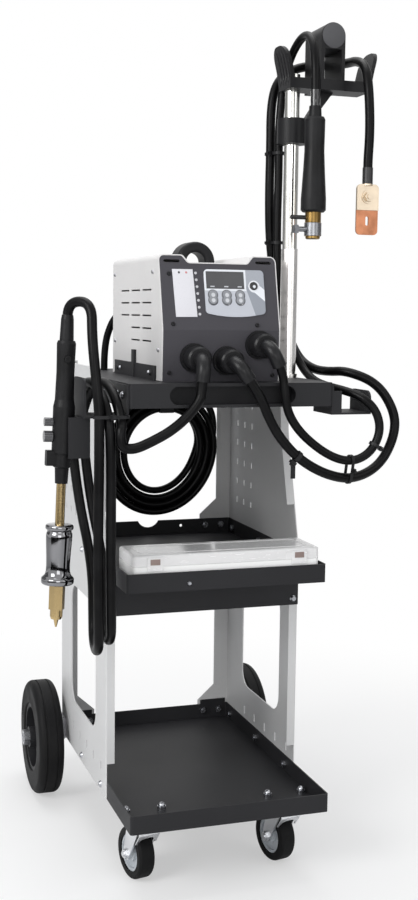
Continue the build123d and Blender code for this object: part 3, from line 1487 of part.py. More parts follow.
with BuildPart() as earth_plate:
    with BuildSketch(xz(hang_y + plate_sheet / 2)):
        with Locations((plate_x, (plate_low + plate_high) / 2)):
            RectangleRounded(plate_width, plate_high - plate_low, plate_r)
        with Locations((plate_x, plate_low + plate_slot_rise)):
            SlotOverall(plate_slot, plate_slot_width, rotation=90, mode=Mode.SUBTRACT)
    extrude(amount=plate_sheet)
    shoe_front = hang_y - plate_sheet / 2
    with BuildSketch(xz(shoe_front)) as shoe:
        with Locations((plate_x, (shoe_low + plate_high) / 2)):
            Rectangle(plate_width, plate_high - shoe_low)
        fillet(shoe.vertices().group_by(Axis.Y)[-1], plate_r)
    extrude(amount=shoe_sheet)
    with Locations((plate_x, hang_y, plate_high - 2)):
        Cylinder(sleeve_r, sleeve_length + 2, align=low_end)
    bolt_z = plate_low + plate_bolt_rise
    bolt_y = shoe_front - shoe_sheet
    with Locations(Plane(origin=(plate_x, bolt_y, bolt_z), x_dir=(1, 0, 0), z_dir=(0, -1, 0))):
        Cylinder(plate_washer_r, plate_washer, align=low_end)
        Cylinder(castor_bolt_r, plate_washer + castor_nut_h, align=low_end)
    with BuildSketch(xz(bolt_y - plate_washer)):
        with Locations((plate_x, bolt_z)):
            RegularPolygon(castor_bolt_head, 6)
    extrude(amount=plate_nut)
finish(earth_plate, "earth_plate")

# Hand tool cable: inner loop over the right hook, up behind the mast, down to the tool
start, heading = boot_exit(2)
tool_entry = tool_top + tool_boot
tool_route = [start, start + heading * 14, (74, -289, 742), (82, -288, 712), (106, -287, 684),
              (148, -287, 657), (184, -288, 650), (213, -290, 663), (228, -291, 690), (222, -288, 719),
              (203, -275, 740), (184, -244, 748), (174, -204, 752), (171, -165, 758), (166, -130, 776),
              (154, -108, 815), (141, -102, 872), (132, -101, 938), (131, -100, 1005), (132, -101, 1080),
              (131, -101, 1150), (136, -99, 1208), (143, -111, 1256), (149, -148, 1284), (149, -186, 1274),
              (147, -204, 1238), (tool_x, hang_y, tool_entry + 18), (tool_x, hang_y, tool_entry)]
tool_cable = cord("tool_cable", tool_route, tool_cable_d)
finish(tool_cable, "tool_cable")

# Ties round the mast and both cables
with BuildPart() as cable_ties:
    for z, ex, ey, tx, ty in ((1010, 124.7, -82.9, 131.1, -100.1), (1095, 123.6, -84, 131.8, -101)):
        with BuildSketch(Plane.XY.offset(z)):
            for x, y, r in ((mast_x, mast_y, upper_r), (ex, ey, cable_d / 2), (tx, ty, tool_cable_d / 2)):
                with Locations((x, y)):
                    Circle(r + 2.0)
            make_hull()
        extrude(amount=5)
        with BuildSketch(Plane.XY.offset(z)):
            for x, y, r in ((mast_x, mast_y, upper_r), (ex, ey, cable_d / 2), (tx, ty, tool_cable_d / 2)):
                with Locations((x, y)):
                    Circle(r + 0.7)
            make_hull()
        extrude(amount=5, mode=Mode.SUBTRACT)
finish(cable_ties, "cable_ties")

# Mains lead: from the gland through the shelf to the coil on its hook
coil_top_y = coil_y + coil_pitch
lead_start = (gland_x, unit_back + face_sheet + fit + gland_length, gland_z)
coil_start = Vector(coil_x - coil_outer, coil_y, coil_z)
lead_route = [lead_start, (gland_x, lead_start[1] + 18, gland_z), (-82, 116, 848), (-94, 131, 800),
              (-91.5, 128.5, 700), (-92, coil_y, coil_z + 30), coil_start + up * lead_d]
mains_lead = cord("mains_lead", lead_route, lead_d)
finish(mains_lead, "mains_lead")


def coil_spot(turn):
    climb = coil_turns
    out = coil_turns + 0.5
    inner = coil_outer - coil_pitch * coil_turns
    if turn <= climb:
        r, slope, y, rise = coil_outer - coil_pitch * turn, -coil_pitch, coil_y, 0.0
    elif turn >= out:
        r, slope, y, rise = inner + coil_pitch * (turn - out), coil_pitch, coil_top_y, 0.0
    else:
        share = (turn - climb) / 0.5
        r, slope = inner - coil_dip * sin(pi * share), 0.0
        y = coil_y + coil_pitch * (1 - cos(pi * share)) / 2
        rise = coil_pitch * pi * sin(pi * share)
    angle = pi + 2 * pi * turn
    if turn in (climb, out):
        slope = 0.0
    spot = Vector(coil_x + r * cos(angle), y, coil_z + r * sin(angle))
    aim = Vector(slope * cos(angle) - 2 * pi * r * sin(angle), rise,
                 slope * sin(angle) + 2 * pi * r * cos(angle))
    if turn == 0:
        aim = up * -1
    return spot, aim.normalized()


coil_spots = [coil_spot(i / 4) for i in range(4 * coil_turns * 2 - 1)]
coil_spots.append((Vector(coil_x, coil_top_y + 2, coil_z + coil_outer + lead_d / 2), Vector(-1, 0, 0)))
mains_coil = wound("mains_coil", coil_spots, lead_d)
finish(mains_coil, "mains_coil")

coil_last, coil_aim = coil_spots[-1]
with BuildPart() as mains_plug:
    seat = Plane(origin=coil_last + coil_aim * lead_d, z_dir=coil_aim)
    with Locations(seat):
        Cone(plug_neck_r - 1, plug_neck_r + 2, plug_neck, align=low_end)
    with Locations(seat.offset(plug_neck)):
        Cylinder(plug_body_r, plug_body, align=low_end)
    with BuildSketch(seat.offset(plug_neck + plug_body)):
        with Locations((-9, 0), (9, 0)):
            Circle(2.4)
    extrude(amount=18)
finish(mains_plug, "mains_plug")
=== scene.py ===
import math
import bmesh
import bpy
from mathutils import Matrix, Vector


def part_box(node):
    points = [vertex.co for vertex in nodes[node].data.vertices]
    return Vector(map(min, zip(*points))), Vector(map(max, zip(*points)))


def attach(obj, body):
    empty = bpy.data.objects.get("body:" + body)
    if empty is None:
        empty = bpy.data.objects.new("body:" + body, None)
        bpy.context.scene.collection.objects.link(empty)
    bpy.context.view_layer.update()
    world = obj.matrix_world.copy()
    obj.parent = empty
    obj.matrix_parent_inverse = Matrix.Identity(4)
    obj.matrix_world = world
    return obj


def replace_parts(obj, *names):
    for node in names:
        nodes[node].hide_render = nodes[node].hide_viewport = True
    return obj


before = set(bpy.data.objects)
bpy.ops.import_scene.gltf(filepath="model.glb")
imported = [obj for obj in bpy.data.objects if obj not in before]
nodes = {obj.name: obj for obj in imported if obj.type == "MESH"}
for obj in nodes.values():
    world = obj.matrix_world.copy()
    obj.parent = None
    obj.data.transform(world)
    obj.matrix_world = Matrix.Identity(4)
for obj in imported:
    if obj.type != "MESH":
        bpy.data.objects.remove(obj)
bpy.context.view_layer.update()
scene = bpy.context.scene
print("frame loaded:", len(nodes), "nodes")


# One node tree: a node gets its settings first, then its inputs by place or by name
class Tree:
    def __init__(self, tree):
        self.tree = tree

    def feed(self, slot, value):
        if isinstance(value, Sock):
            self.tree.links.new(value.socket, slot)
        elif slot.type == "RGBA":
            slot.default_value = (*value, 1.0)
        else:
            slot.default_value = value

    def node(self, kind, output=0, setup=None, places=None, **named):
        node = self.tree.nodes.new(kind)
        for key, value in (setup or {}).items():
            setattr(node, key, value)
        for key, value in (places or {}).items():
            self.feed(node.inputs[key], value)
        for key, value in named.items():
            self.feed(node.inputs[key.replace("_", " ")], value)
        return Sock(self, node.outputs[output])


# A socket that can be added and multiplied
class Sock:
    def __init__(self, owner, socket):
        self.owner, self.socket = owner, socket

    def maths(self, operation, *values):
        return self.owner.node("ShaderNodeMath", 0, {"operation": operation}, dict(enumerate(values)))

    def __add__(self, other):
        return self.maths("ADD", self, other)

    def __sub__(self, other):
        return self.maths("SUBTRACT", self, other)

    def __mul__(self, other):
        return self.maths("MULTIPLY", self, other)

    def __radd__(self, other):
        return self.maths("ADD", other, self)

    def __rsub__(self, other):
        return self.maths("SUBTRACT", other, self)

    def __rmul__(self, other):
        return self.maths("MULTIPLY", other, self)

    def above(self, edge):
        return self.maths("GREATER_THAN", self, edge)

    def below(self, edge):
        return self.maths("LESS_THAN", self, edge)

    def within(self, low, high):
        return self.above(low) * self.below(high)

    def most(self, other):
        return self.maths("MAXIMUM", self, other)

    def size(self):
        return self.maths("ABSOLUTE", self)

    def wave(self):
        return self.maths("SINE", self)

    def apart(self, other):
        squares = self * self + other * other
        return squares.maths("SQRT", squares)

    def step(self, low, high):
        smooth = {"interpolation_type": "SMOOTHSTEP"}
        return self.owner.node("ShaderNodeMapRange", 0, smooth, {0: self, 1: low, 2: high})


def anyOf(masks):
    joined = masks[0]
    for mask in masks[1:]:
        joined = joined.most(mask)
    return joined


class Finish(Tree):
    def __init__(self, name):
        self.material = bpy.data.materials.new(name)
        self.material.use_nodes = True
        super().__init__(self.material.node_tree)
        self.shader = self.tree.nodes["Principled BSDF"]
        self.place = self.node("ShaderNodeTexCoord", "Object")

    def stretch(self, scale):
        return self.node("ShaderNodeMapping", "Vector", Vector=self.place, Scale=scale)

    def noise(self, scale, detail=3.0, where=None):
        return self.node("ShaderNodeTexNoise", "Fac", Vector=where or self.place, Scale=scale, Detail=detail)

    def axis(self, name):
        return self.node("ShaderNodeSeparateXYZ", name, Vector=self.place)

    def mix(self, share, first, second):
        return self.node("ShaderNodeMix", 2, {"data_type": "RGBA"}, {0: share, 6: first, 7: second})

    def put(self, **inputs):
        for key, value in inputs.items():
            self.feed(self.shader.inputs[key.replace("_", " ")], value)

    def bump(self, height, strength, depth):
        relief = self.node("ShaderNodeBump", "Normal", Height=height, Strength=strength, Distance=depth)
        self.put(Normal=relief)


def tone(colour, factor):
    return tuple(min(1.0, c * factor) for c in colour)


# Painted and moulded surfaces: fine grain, slow change of tone, specks of dust
grainLook = {"patches": 7.0, "patchEdge": (0.3, 0.7), "speckScale": 0.35, "speckEdge": (0.58, 0.72),
             "speckShare": 0.35, "speckTone": 0.8, "patchRough": 0.16, "grainRough": 0.12}


def grained(name, colour, rough, grain=900.0, depth=0.00012, spread=0.07, strength=0.35, coat=0.0, spec=0.5):
    f, g = Finish(name), grainLook
    fine = f.noise(grain, 2.0)
    slow = f.noise(g["patches"], 4.0)
    specks = f.noise(grain * g["speckScale"], 5.0).step(*g["speckEdge"])
    base = f.mix(slow.step(*g["patchEdge"]), tone(colour, 1 - spread), tone(colour, 1 + spread))
    f.put(Base_Color=f.mix(specks * g["speckShare"], base, tone(colour, g["speckTone"])))
    f.put(Roughness=rough + (slow - 0.5) * g["patchRough"] + (fine - 0.5) * g["grainRough"])
    f.put(Coat_Weight=coat, Specular_IOR_Level=spec)
    f.bump(fine, strength, depth)
    return f


# Bare and plated metal: lines along one direction and soft stains
metalLook = {"stains": 18.0, "stainEdge": (0.35, 0.75), "stain": 0.12, "lineRough": 0.12, "stainRough": 0.1,
             "depth": 0.0001}


def metal(name, colour, rough, lines=(900.0, 900.0, 40.0), strength=0.12):
    f, m = Finish(name), metalLook
    brushed = f.noise(1.0, 3.0, f.stretch(lines))
    slow = f.noise(m["stains"], 4.0)
    f.put(Base_Color=f.mix(slow.step(*m["stainEdge"]), colour, tone(colour, 1 - m["stain"])))
    f.put(Roughness=rough + (brushed - 0.5) * m["lineRough"] + (slow - 0.5) * m["stainRough"])
    f.put(Metallic=1.0)
    f.bump(brushed, strength, m["depth"])
    return f


evenLines = (500.0, 500.0, 500.0)
tubeLines = (1200.0, 1200.0, 6.0)
turnedLines = (60.0, 60.0, 1500.0)
grainedLooks = {
    "blackSheet": {"colour": (0.018, 0.018, 0.02), "rough": 0.5, "grain": 1100.0, "spec": 0.22},
    "panelPaint": {"colour": (0.6, 0.6, 0.6), "rough": 0.42, "grain": 1300.0, "spread": 0.03},
    "coverPaint": {"colour": (0.66, 0.65, 0.645), "rough": 0.45, "grain": 1300.0, "spread": 0.03},
    "frontPaint": {"colour": (0.058, 0.056, 0.064), "rough": 0.55, "grain": 1500.0, "spread": 0.05,
                   "spec": 0.2},
    "rimPlastic": {"colour": (0.016, 0.016, 0.018), "rough": 0.5, "grain": 700.0, "spec": 0.22},
    "hubPlastic": {"colour": (0.5, 0.53, 0.56), "rough": 0.4, "grain": 700.0},
    "holderPlastic": {"colour": (0.009, 0.009, 0.01), "rough": 0.42, "grain": 600.0, "spec": 0.2},
    # grey of the saddle's front disc: painted light on a lit face of the black holder
    "discPlastic": {"colour": (0.085, 0.085, 0.09), "rough": 0.55, "spec": 0.25},
    "plugPlastic": {"colour": (0.01, 0.01, 0.011), "rough": 0.34, "grain": 700.0, "spec": 0.22},
    "tiePlastic": {"colour": (0.01, 0.01, 0.011), "rough": 0.42, "spec": 0.25},
    "sleevePlastic": {"colour": (0.01, 0.01, 0.011), "rough": 0.16, "grain": 300.0, "depth": 0.0002,
                      "coat": 0.4},
    "coreIron": {"colour": (0.1, 0.09, 0.085), "rough": 0.7, "grain": 400.0},
    "whitePlate": {"colour": (0.68, 0.675, 0.71), "rough": 0.35, "grain": 1600.0, "spread": 0.02},
    "printMark": {"colour": (0.5, 0.5, 0.52), "rough": 0.4, "grain": 1600.0, "spread": 0.1},
    "redLamp": {"colour": (0.55, 0.2, 0.2), "rough": 0.25, "coat": 0.5},
    "darkLamp": {"colour": (0.03, 0.03, 0.035), "rough": 0.2, "coat": 0.5},
    "latchPad": {"colour": (0.25, 0.185, 0.165), "rough": 0.45, "spread": 0.12},
    "padFelt": {"colour": (0.62, 0.6, 0.6), "rough": 0.8, "grain": 700.0, "depth": 0.0004, "spread": 0.1},
}
metalLooks = {
    "axleSteel": {"colour": (0.36, 0.36, 0.38), "rough": 0.36},
    "zincPlate": {"colour": (0.48, 0.49, 0.52), "rough": 0.28, "lines": evenLines},
    "castorZinc": {"colour": (0.8, 0.81, 0.83), "rough": 0.36, "lines": evenLines},
    "mastChrome": {"colour": (0.95, 0.93, 0.91), "rough": 0.2, "lines": tubeLines, "strength": 0.03},
    "upperChrome": {"colour": (0.73, 0.725, 0.69), "rough": 0.16, "lines": tubeLines, "strength": 0.03},
    # hammer: chrome with a darkened colour, a painted dark reflection
    "hammerChrome": {"colour": (0.24, 0.24, 0.25), "rough": 0.07, "lines": turnedLines, "strength": 0.05},
    "knobSteel": {"colour": (0.13, 0.13, 0.135), "rough": 0.22, "lines": turnedLines},
    "turnedBrass": {"colour": (0.52, 0.385, 0.19), "rough": 0.24, "lines": (60.0, 60.0, 1800.0)},
    "copperRing": {"colour": (0.75, 0.4, 0.25), "rough": 0.3, "lines": (600.0, 600.0, 600.0)},
}
paints = {name: grained(name, **look) for name, look in grainedLooks.items()}
paints.update({name: metal(name, **look) for name, look in metalLooks.items()})

# Tyres: dusty rubber with fine rings moulded round the axle
tyreLook = {"clean": (0.006, 0.006, 0.0065), "dusty": (0.02, 0.019, 0.018), "grain": 700.0, "patches": 14.0,
            "dustEdge": (0.48, 0.75), "dustShare": 0.45, "ringEdge": (0.55, 0.95), "rough": 0.55,
            "dustRough": 0.25, "grainRough": 0.15, "shine": 0.14, "relief": (0.5, 0.4, 0.5), "strength": 0.35,
            "depth": 0.0004}
tyreKinds = {"wheelRubber": {"axle": (0.195, 0.1), "pitch": 0.006},
             "castorRubber": {"axle": (-0.1945, 0.04), "pitch": 0.004}}


def tyreRubber(name, axle, pitch):
    f, t = Finish(name), tyreLook
    fine = f.noise(t["grain"])
    slow = f.noise(t["patches"], 5.0)
    dust = slow.step(*t["dustEdge"])
    ring = (f.axis("Y") - axle[0]).apart(f.axis("Z") - axle[1])
    moulded = (ring * (2 * math.pi / pitch)).wave().step(*t["ringEdge"])
    f.put(Base_Color=f.mix(dust * t["dustShare"], t["clean"], t["dusty"]), Specular_IOR_Level=t["shine"])
    f.put(Roughness=t["rough"] + dust * t["dustRough"] + (fine - 0.5) * t["grainRough"])
    ofGrain, ofPatches, ofRings = t["relief"]
    f.bump(fine * ofGrain + slow * ofPatches + moulded * ofRings, t["strength"], t["depth"])
    return f


# Jacket of the cords
cableLook = {"dark": (0.002, 0.002, 0.0023), "worn": (0.005, 0.005, 0.0054), "grain": 1200.0, "patches": 25.0,
             "wornEdge": (0.4, 0.7), "rough": 0.34, "patchRough": 0.2, "grainRough": 0.1, "shine": 0.13,
             "strength": 0.2, "depth": 0.0002}


def cableRubber():
    f, c = Finish("cableRubber"), cableLook
    fine = f.noise(c["grain"], 2.0)
    slow = f.noise(c["patches"], 4.0)
    f.put(Base_Color=f.mix(slow.step(*c["wornEdge"]), c["dark"], c["worn"]), Specular_IOR_Level=c["shine"])
    f.put(Roughness=c["rough"] + (slow - 0.5) * c["patchRough"] + (fine - 0.5) * c["grainRough"])
    f.bump(fine, c["strength"], c["depth"])
    return f


# Grip with small raised dots between two heights of the gun, smooth elsewhere
gripLook = {"dark": (0.005, 0.005, 0.0055), "worn": (0.011, 0.011, 0.012), "grain": 500.0, "patches": 20.0,
            "wornEdge": (0.35, 0.7), "rough": 0.42, "patchRough": 0.2, "dotRough": 0.12, "shine": 0.18,
            "dotPitch": 0.0032, "dotsRound": 26.0, "dotEdge": (0.0, 0.8), "grainShare": 0.25, "strength": 0.5,
            "depth": 0.0005}
gripKinds = {"gunPlastic": {"low": 0.742, "high": 0.815, "centre": (-0.2365, -0.235)},
             "toolPlastic": {"low": 2.0, "high": 2.1, "centre": (0.147, -0.207)}}    # above it: no dots


def gripPlastic(name, low, high, centre):
    f, g = Finish(name), gripLook
    fine = f.noise(g["grain"])
    slow = f.noise(g["patches"], 4.0)
    sideX, sideY, up = f.axis("X") - centre[0], f.axis("Y") - centre[1], f.axis("Z")
    turn = sideY.maths("ARCTAN2", sideY, sideX)
    dots = (up * (2 * math.pi / g["dotPitch"])).wave() * (turn * g["dotsRound"]).wave()
    stipple = dots.step(*g["dotEdge"]) * up.within(low, high)
    f.put(Base_Color=f.mix(slow.step(*g["wornEdge"]), g["dark"], g["worn"]), Specular_IOR_Level=g["shine"])
    f.put(Roughness=g["rough"] + (slow - 0.5) * g["patchRough"] + stipple * g["dotRough"])
    f.bump(fine * g["grainShare"] + stipple, g["strength"], g["depth"])
    return f


# Lid of clear plastic and base of milky plastic
boxLook = {"patches": 30.0, "scratches": (60.0, 1500.0, 700.0), "scratchEdge": (0.62, 0.7), "tone": 0.96,
           "bending": 1.46, "patchRough": 0.1, "scratchRough": 0.2, "scratchShare": 0.2, "strength": 0.1,
           "depth": 0.0004}
boxKinds = {"clearLid": {"colour": (0.96, 0.955, 0.955), "clear": 0.29, "rough": 0.06},
            "milkyBase": {"colour": (0.95, 0.95, 0.94), "clear": 0.08, "rough": 0.3}}


def boxPlastic(name, colour, clear, rough):
    f, b = Finish(name), boxLook
    slow = f.noise(b["patches"], 4.0)
    scratch = f.noise(1.0, 2.0, f.stretch(b["scratches"])).step(*b["scratchEdge"])
    f.put(Base_Color=f.mix(slow, tone(colour, b["tone"]), colour))
    f.put(Roughness=rough + slow * b["patchRough"] + scratch * b["scratchRough"])
    f.put(Transmission_Weight=clear, IOR=b["bending"])
    f.bump(slow + scratch * b["scratchShare"], b["strength"], b["depth"])
    return f


# Copper below, tinned shoe above, black sleeve on top
earthLook = {"copper": ((0.56, 0.24, 0.13), (0.4, 0.17, 0.09)), "sleeve": (0.012, 0.012, 0.013),
             "tin": ((0.74, 0.62, 0.47), (0.62, 0.53, 0.42)), "tinFrom": 1.019, "sleeveFrom": 1.0585,
             "blur": 0.0004, "patches": 60.0, "patchEdge": (0.35, 0.7), "grind": (1400.0, 300.0, 90.0),
             "rough": 0.28, "patchRough": 0.2, "grindRough": 0.12, "strength": 0.15, "depth": 0.0002}


def earthCopper():
    f, e = Finish("earthCopper"), earthLook
    slow = f.noise(e["patches"], 5.0)
    grind = f.noise(1.0, 3.0, f.stretch(e["grind"]))
    up = f.axis("Z")
    tinned, black = (up.step(e[k] - e["blur"], e[k] + e["blur"]) for k in ("tinFrom", "sleeveFrom"))
    bare = f.mix(tinned, f.mix(slow.step(*e["patchEdge"]), *e["copper"]), f.mix(slow, *e["tin"]))
    f.put(Base_Color=f.mix(black, bare, e["sleeve"]), Metallic=1 - black)
    f.put(Roughness=e["rough"] + slow * e["patchRough"] + (grind - 0.5) * e["grindRough"])
    f.bump(grind, e["strength"], e["depth"])
    return f


# Brass nose of the hand tool with its zinc clamp between two heights and a dark screw
noseLook = {"brass": ((0.27, 0.175, 0.06), (0.17, 0.105, 0.035)), "zinc": (0.24, 0.245, 0.26),
            "screw": (0.05, 0.05, 0.05), "clamp": (0.978, 0.997), "screwLow": 0.998, "screwRight": 0.1345,
            "patches": 40.0, "patchEdge": (0.3, 0.7), "lines": (60.0, 60.0, 1800.0), "rough": 0.24,
            "lineRough": 0.14, "patchRough": 0.1, "strength": 0.15, "depth": 0.0002}


def toolBrass():
    f, n = Finish("toolBrass"), noseLook
    slow = f.noise(n["patches"], 4.0)
    lines = f.noise(1.0, 3.0, f.stretch(n["lines"]))
    up, across = f.axis("Z"), f.axis("X")
    dark = up.above(n["screwLow"]) * across.below(n["screwRight"])
    plated = f.mix(up.within(*n["clamp"]), f.mix(slow.step(*n["patchEdge"]), *n["brass"]), n["zinc"])
    f.put(Base_Color=f.mix(dark, plated, n["screw"]), Metallic=1.0)
    f.put(Roughness=n["rough"] + (lines - 0.5) * n["lineRough"] + slow * n["patchRough"])
    f.bump(lines, n["strength"], n["depth"])
    return f


# Print of the control overlay, drawn from its own places in metres
overlayFacts = {"displayRight": 0.0362, "displayLow": 0.8935, "knob": (0.0484, 0.9003), "ring": 0.0088,
                "sweep": (0.772, -0.635), "band": 0.0066, "bandLeft": 0.037, "shadeLeft": 0.036,
                "shadeFoot": (0.0397, 0.885), "shadeLean": 0.32, "screen": 3000.0, "screenEdge": (0.1, 0.5),
                "keys": (-0.0163, 0.005, 0.0258), "keyHeight": 0.8833, "eye": 0.0039, "outline": 0.0078,
                "keySpot": (0.0026, 0.0034), "knobSpot": (0.0019, 0.0026), "markHeight": 0.8995,
                "markHalf": (0.0032, 0.0008)}
overlayLook = {"pale": ((0.46, 0.48, 0.53), (0.52, 0.54, 0.59)), "border": (0.74, 0.76, 0.8),
               "screen": ((0.3, 0.32, 0.36), (0.42, 0.44, 0.48)), "shade": (0.27, 0.29, 0.33),
               "band": (0.76, 0.78, 0.82), "outline": (0.12, 0.125, 0.14), "patches": 40.0, "grain": 900.0,
               "rough": 0.3, "patchRough": 0.1, "coat": 0.3, "strength": 0.06, "depth": 0.0001}


def eyeDistances(f, o):    # from the upper and lower eye of each key
    across, high = f.axis("X"), f.axis("Z")
    heights = (o["keyHeight"] - o["eye"], o["keyHeight"] + o["eye"])
    return [(across - x).apart(high - z) for x in o["keys"] for z in heights]


def overlayPrint(o):
    f, c = Finish("overlayPrint"), overlayLook
    across, high = f.axis("X"), f.axis("Z")
    slow = f.noise(c["patches"])
    sideX, sideZ = across - o["knob"][0], high - o["knob"][1]
    along = sideX * o["sweep"][0] + sideZ * o["sweep"][1]
    beside = sideX * -o["sweep"][1] + sideZ * o["sweep"][0]
    band = (beside.size().below(o["band"]) * along.above(0.0)).most(sideX.apart(sideZ).below(o["ring"]))
    footX, footZ = o["shadeFoot"]
    lean = (across - footX) + (high - footZ) * o["shadeLean"]
    shade = beside.below(-o["band"]) * lean.above(0.0)
    right = across.above(o["displayRight"]) * beside.above(-o["band"])
    dots = ((across * o["screen"]).wave() * (high * o["screen"]).wave()).step(*o["screenEdge"])
    border = across.below(o["displayRight"]) * high.above(o["displayLow"])
    look = f.mix(border, f.mix(slow, *c["pale"]), c["border"])
    look = f.mix(right, look, f.mix(dots, *c["screen"]))
    look = f.mix(shade * across.above(o["shadeLeft"]), look, c["shade"])
    look = f.mix(band * across.above(o["bandLeft"]), look, c["band"])
    ringed = anyOf([eye.below(o["outline"]) for eye in eyeDistances(f, o)])
    f.put(Base_Color=f.mix(ringed, look, c["outline"]), Coat_Weight=c["coat"])
    f.put(Roughness=c["rough"] + slow * c["patchRough"])
    f.bump(f.noise(c["grain"]), c["strength"], c["depth"])
    return f


# Dark glass with three short marks over the keys
displayLook = {"glass": ((0.04, 0.04, 0.044), (0.055, 0.055, 0.06)), "mark": (0.5, 0.52, 0.55),
               "patches": 50.0, "rough": 0.14, "patchRough": 0.08, "coat": 0.5, "strength": 0.02,
               "depth": 0.0002}


def displayGlass(o):
    f, d = Finish("displayGlass"), displayLook
    across, high = f.axis("X"), f.axis("Z")
    slow = f.noise(d["patches"])
    halfX, halfZ = o["markHalf"]
    level = (high - o["markHeight"]).size().below(halfZ)
    marks = anyOf([(across - x).size().below(halfX) * level for x in o["keys"]])
    f.put(Base_Color=f.mix(marks, f.mix(slow, *d["glass"]), d["mark"]), Coat_Weight=d["coat"])
    f.put(Roughness=d["rough"] + slow * d["patchRough"])
    f.bump(slow, d["strength"], d["depth"])
    return f


# Silver keys with a pale spot in each eye, and a dark round button with a pale middle
keyLook = {"silver": (0.24, 0.25, 0.27), "spot": (0.56, 0.57, 0.6), "rough": 0.32}
modeLook = {"dark": (0.012, 0.012, 0.014), "spot": (0.7, 0.72, 0.76), "rough": 0.25}
buttonGrain = {"grain": 900.0, "grainRough": 0.14, "strength": 0.15, "depth": 0.0001}


def buttonSurface(f, rough):
    b = buttonGrain
    fine = f.noise(b["grain"], 2.0)
    f.put(Roughness=rough + fine * b["grainRough"])
    f.bump(fine, b["strength"], b["depth"])
    return f


def keyPlastic(o):
    f = Finish("keyPlastic")
    spots = anyOf([1 - eye.step(*o["keySpot"]) for eye in eyeDistances(f, o)])
    f.put(Base_Color=f.mix(spots, keyLook["silver"], keyLook["spot"]))
    return buttonSurface(f, keyLook["rough"])


def modePlastic(o):
    f = Finish("modePlastic")
    rim = (f.axis("X") - o["knob"][0]).apart(f.axis("Z") - o["knob"][1]).step(*o["knobSpot"])
    f.put(Base_Color=f.mix(rim, modeLook["spot"], modeLook["dark"]))
    return buttonSurface(f, modeLook["rough"])


for make, kinds in ((tyreRubber, tyreKinds), (gripPlastic, gripKinds), (boxPlastic, boxKinds)):
    paints.update({name: make(name, **facts) for name, facts in kinds.items()})
paints["cableRubber"] = cableRubber()
paints["earthCopper"] = earthCopper()
paints["toolBrass"] = toolBrass()
paints["overlayPrint"] = overlayPrint(overlayFacts)
paints["displayGlass"] = displayGlass(overlayFacts)
paints["keyPlastic"] = keyPlastic(overlayFacts)
paints["modePlastic"] = modePlastic(overlayFacts)

# Which pieces of the frame wear each finish
wearing = {
    "blackSheet": "lower_tray middle_tray middle_crossbar top_shelf cable_hooks unit_clamps",
    "panelPaint": "side_panel_left side_panel_right",
    "axleSteel": "rear_axle axle_blocks",
    "wheelRubber": "wheel_tyre_left wheel_tyre_right",
    "castorRubber": "castor_tyre_left castor_tyre_right",
    "rimPlastic": "wheel_rim_left wheel_rim_right fan_rotor",
    "hubPlastic": "castor_hub_left castor_hub_right",
    "zincPlate": "trolley_screws",
    "castorZinc": "castor_plates castor_fork_left castor_fork_right",
    "mastChrome": "mast_lower",
    "upperChrome": "mast_upper",
    "hammerChrome": "slide_hammer",
    "knobSteel": "gun_knobs",
    "turnedBrass": "gun_rod gun_chuck",
    "toolBrass": "hand_tool_chuck",
    "holderPlastic": "tool_holder unit_handle",
    "tiePlastic": "cable_ties",
    "gunPlastic": "gun_body gun_trigger",
    "toolPlastic": "hand_tool_grip",
    "coverPaint": "unit_cover unit_rear",
    "frontPaint": "unit_front unit_base",
    "overlayPrint": "control_panel",
    "displayGlass": "display_window",
    "keyPlastic": "key_left key_middle key_right",
    "modePlastic": "mode_button",
    "plugPlastic": "output_sockets output_plugs mains_plug mains_switch",
    "coreIron": "transformer",
    "earthCopper": "earth_plate",
    "milkyBase": "box_base",
    "clearLid": "box_lid",
}
for paint, names in wearing.items():
    for name in names.split():
        mesh = nodes[name].data
        mesh.materials.clear()
        mesh.materials.append(paints[paint].material)
print("finishes:", len(paints))


# Cords: one smooth spline over the points of each route, in millimetres
cordShape = {"steps": 10, "sides": 6}


def arc(centre, radius, start, stop, count, fromX, toX):
    points = []
    span = (stop - start) / count
    reach = radius / math.cos(math.radians(span / 2))
    for i in range(count):
        angle = math.radians(start + span * (i + 0.5))
        x = fromX + (toX - fromX) * (i + 0.5) / count
        points.append((x, centre[0] + reach * math.cos(angle), centre[1] + reach * math.sin(angle)))
    return points


def routeCurve(name, points):
    curve = bpy.data.curves.new(name, "CURVE")
    curve.dimensions = "3D"
    spline = curve.splines.new("NURBS")
    spline.points.add(len(points) - 1)
    for slot, point in zip(spline.points, points):
        slot.co = (point[0] / 1000, point[1] / 1000, point[2] / 1000, 1.0)
    spline.order_u = 3
    spline.use_endpoint_u = True
    spline.resolution_u = cordShape["steps"]
    piece = bpy.data.objects.new(name, curve)
    scene.collection.objects.link(piece)
    return piece


def routeLine(points):    # places along a cord's own spline
    guide = routeCurve("guide", points)
    line = bpy.data.meshes.new_from_object(guide)
    places = [v.co.copy() for v in line.vertices]
    bpy.data.objects.remove(guide)
    bpy.data.meshes.remove(line)
    return places


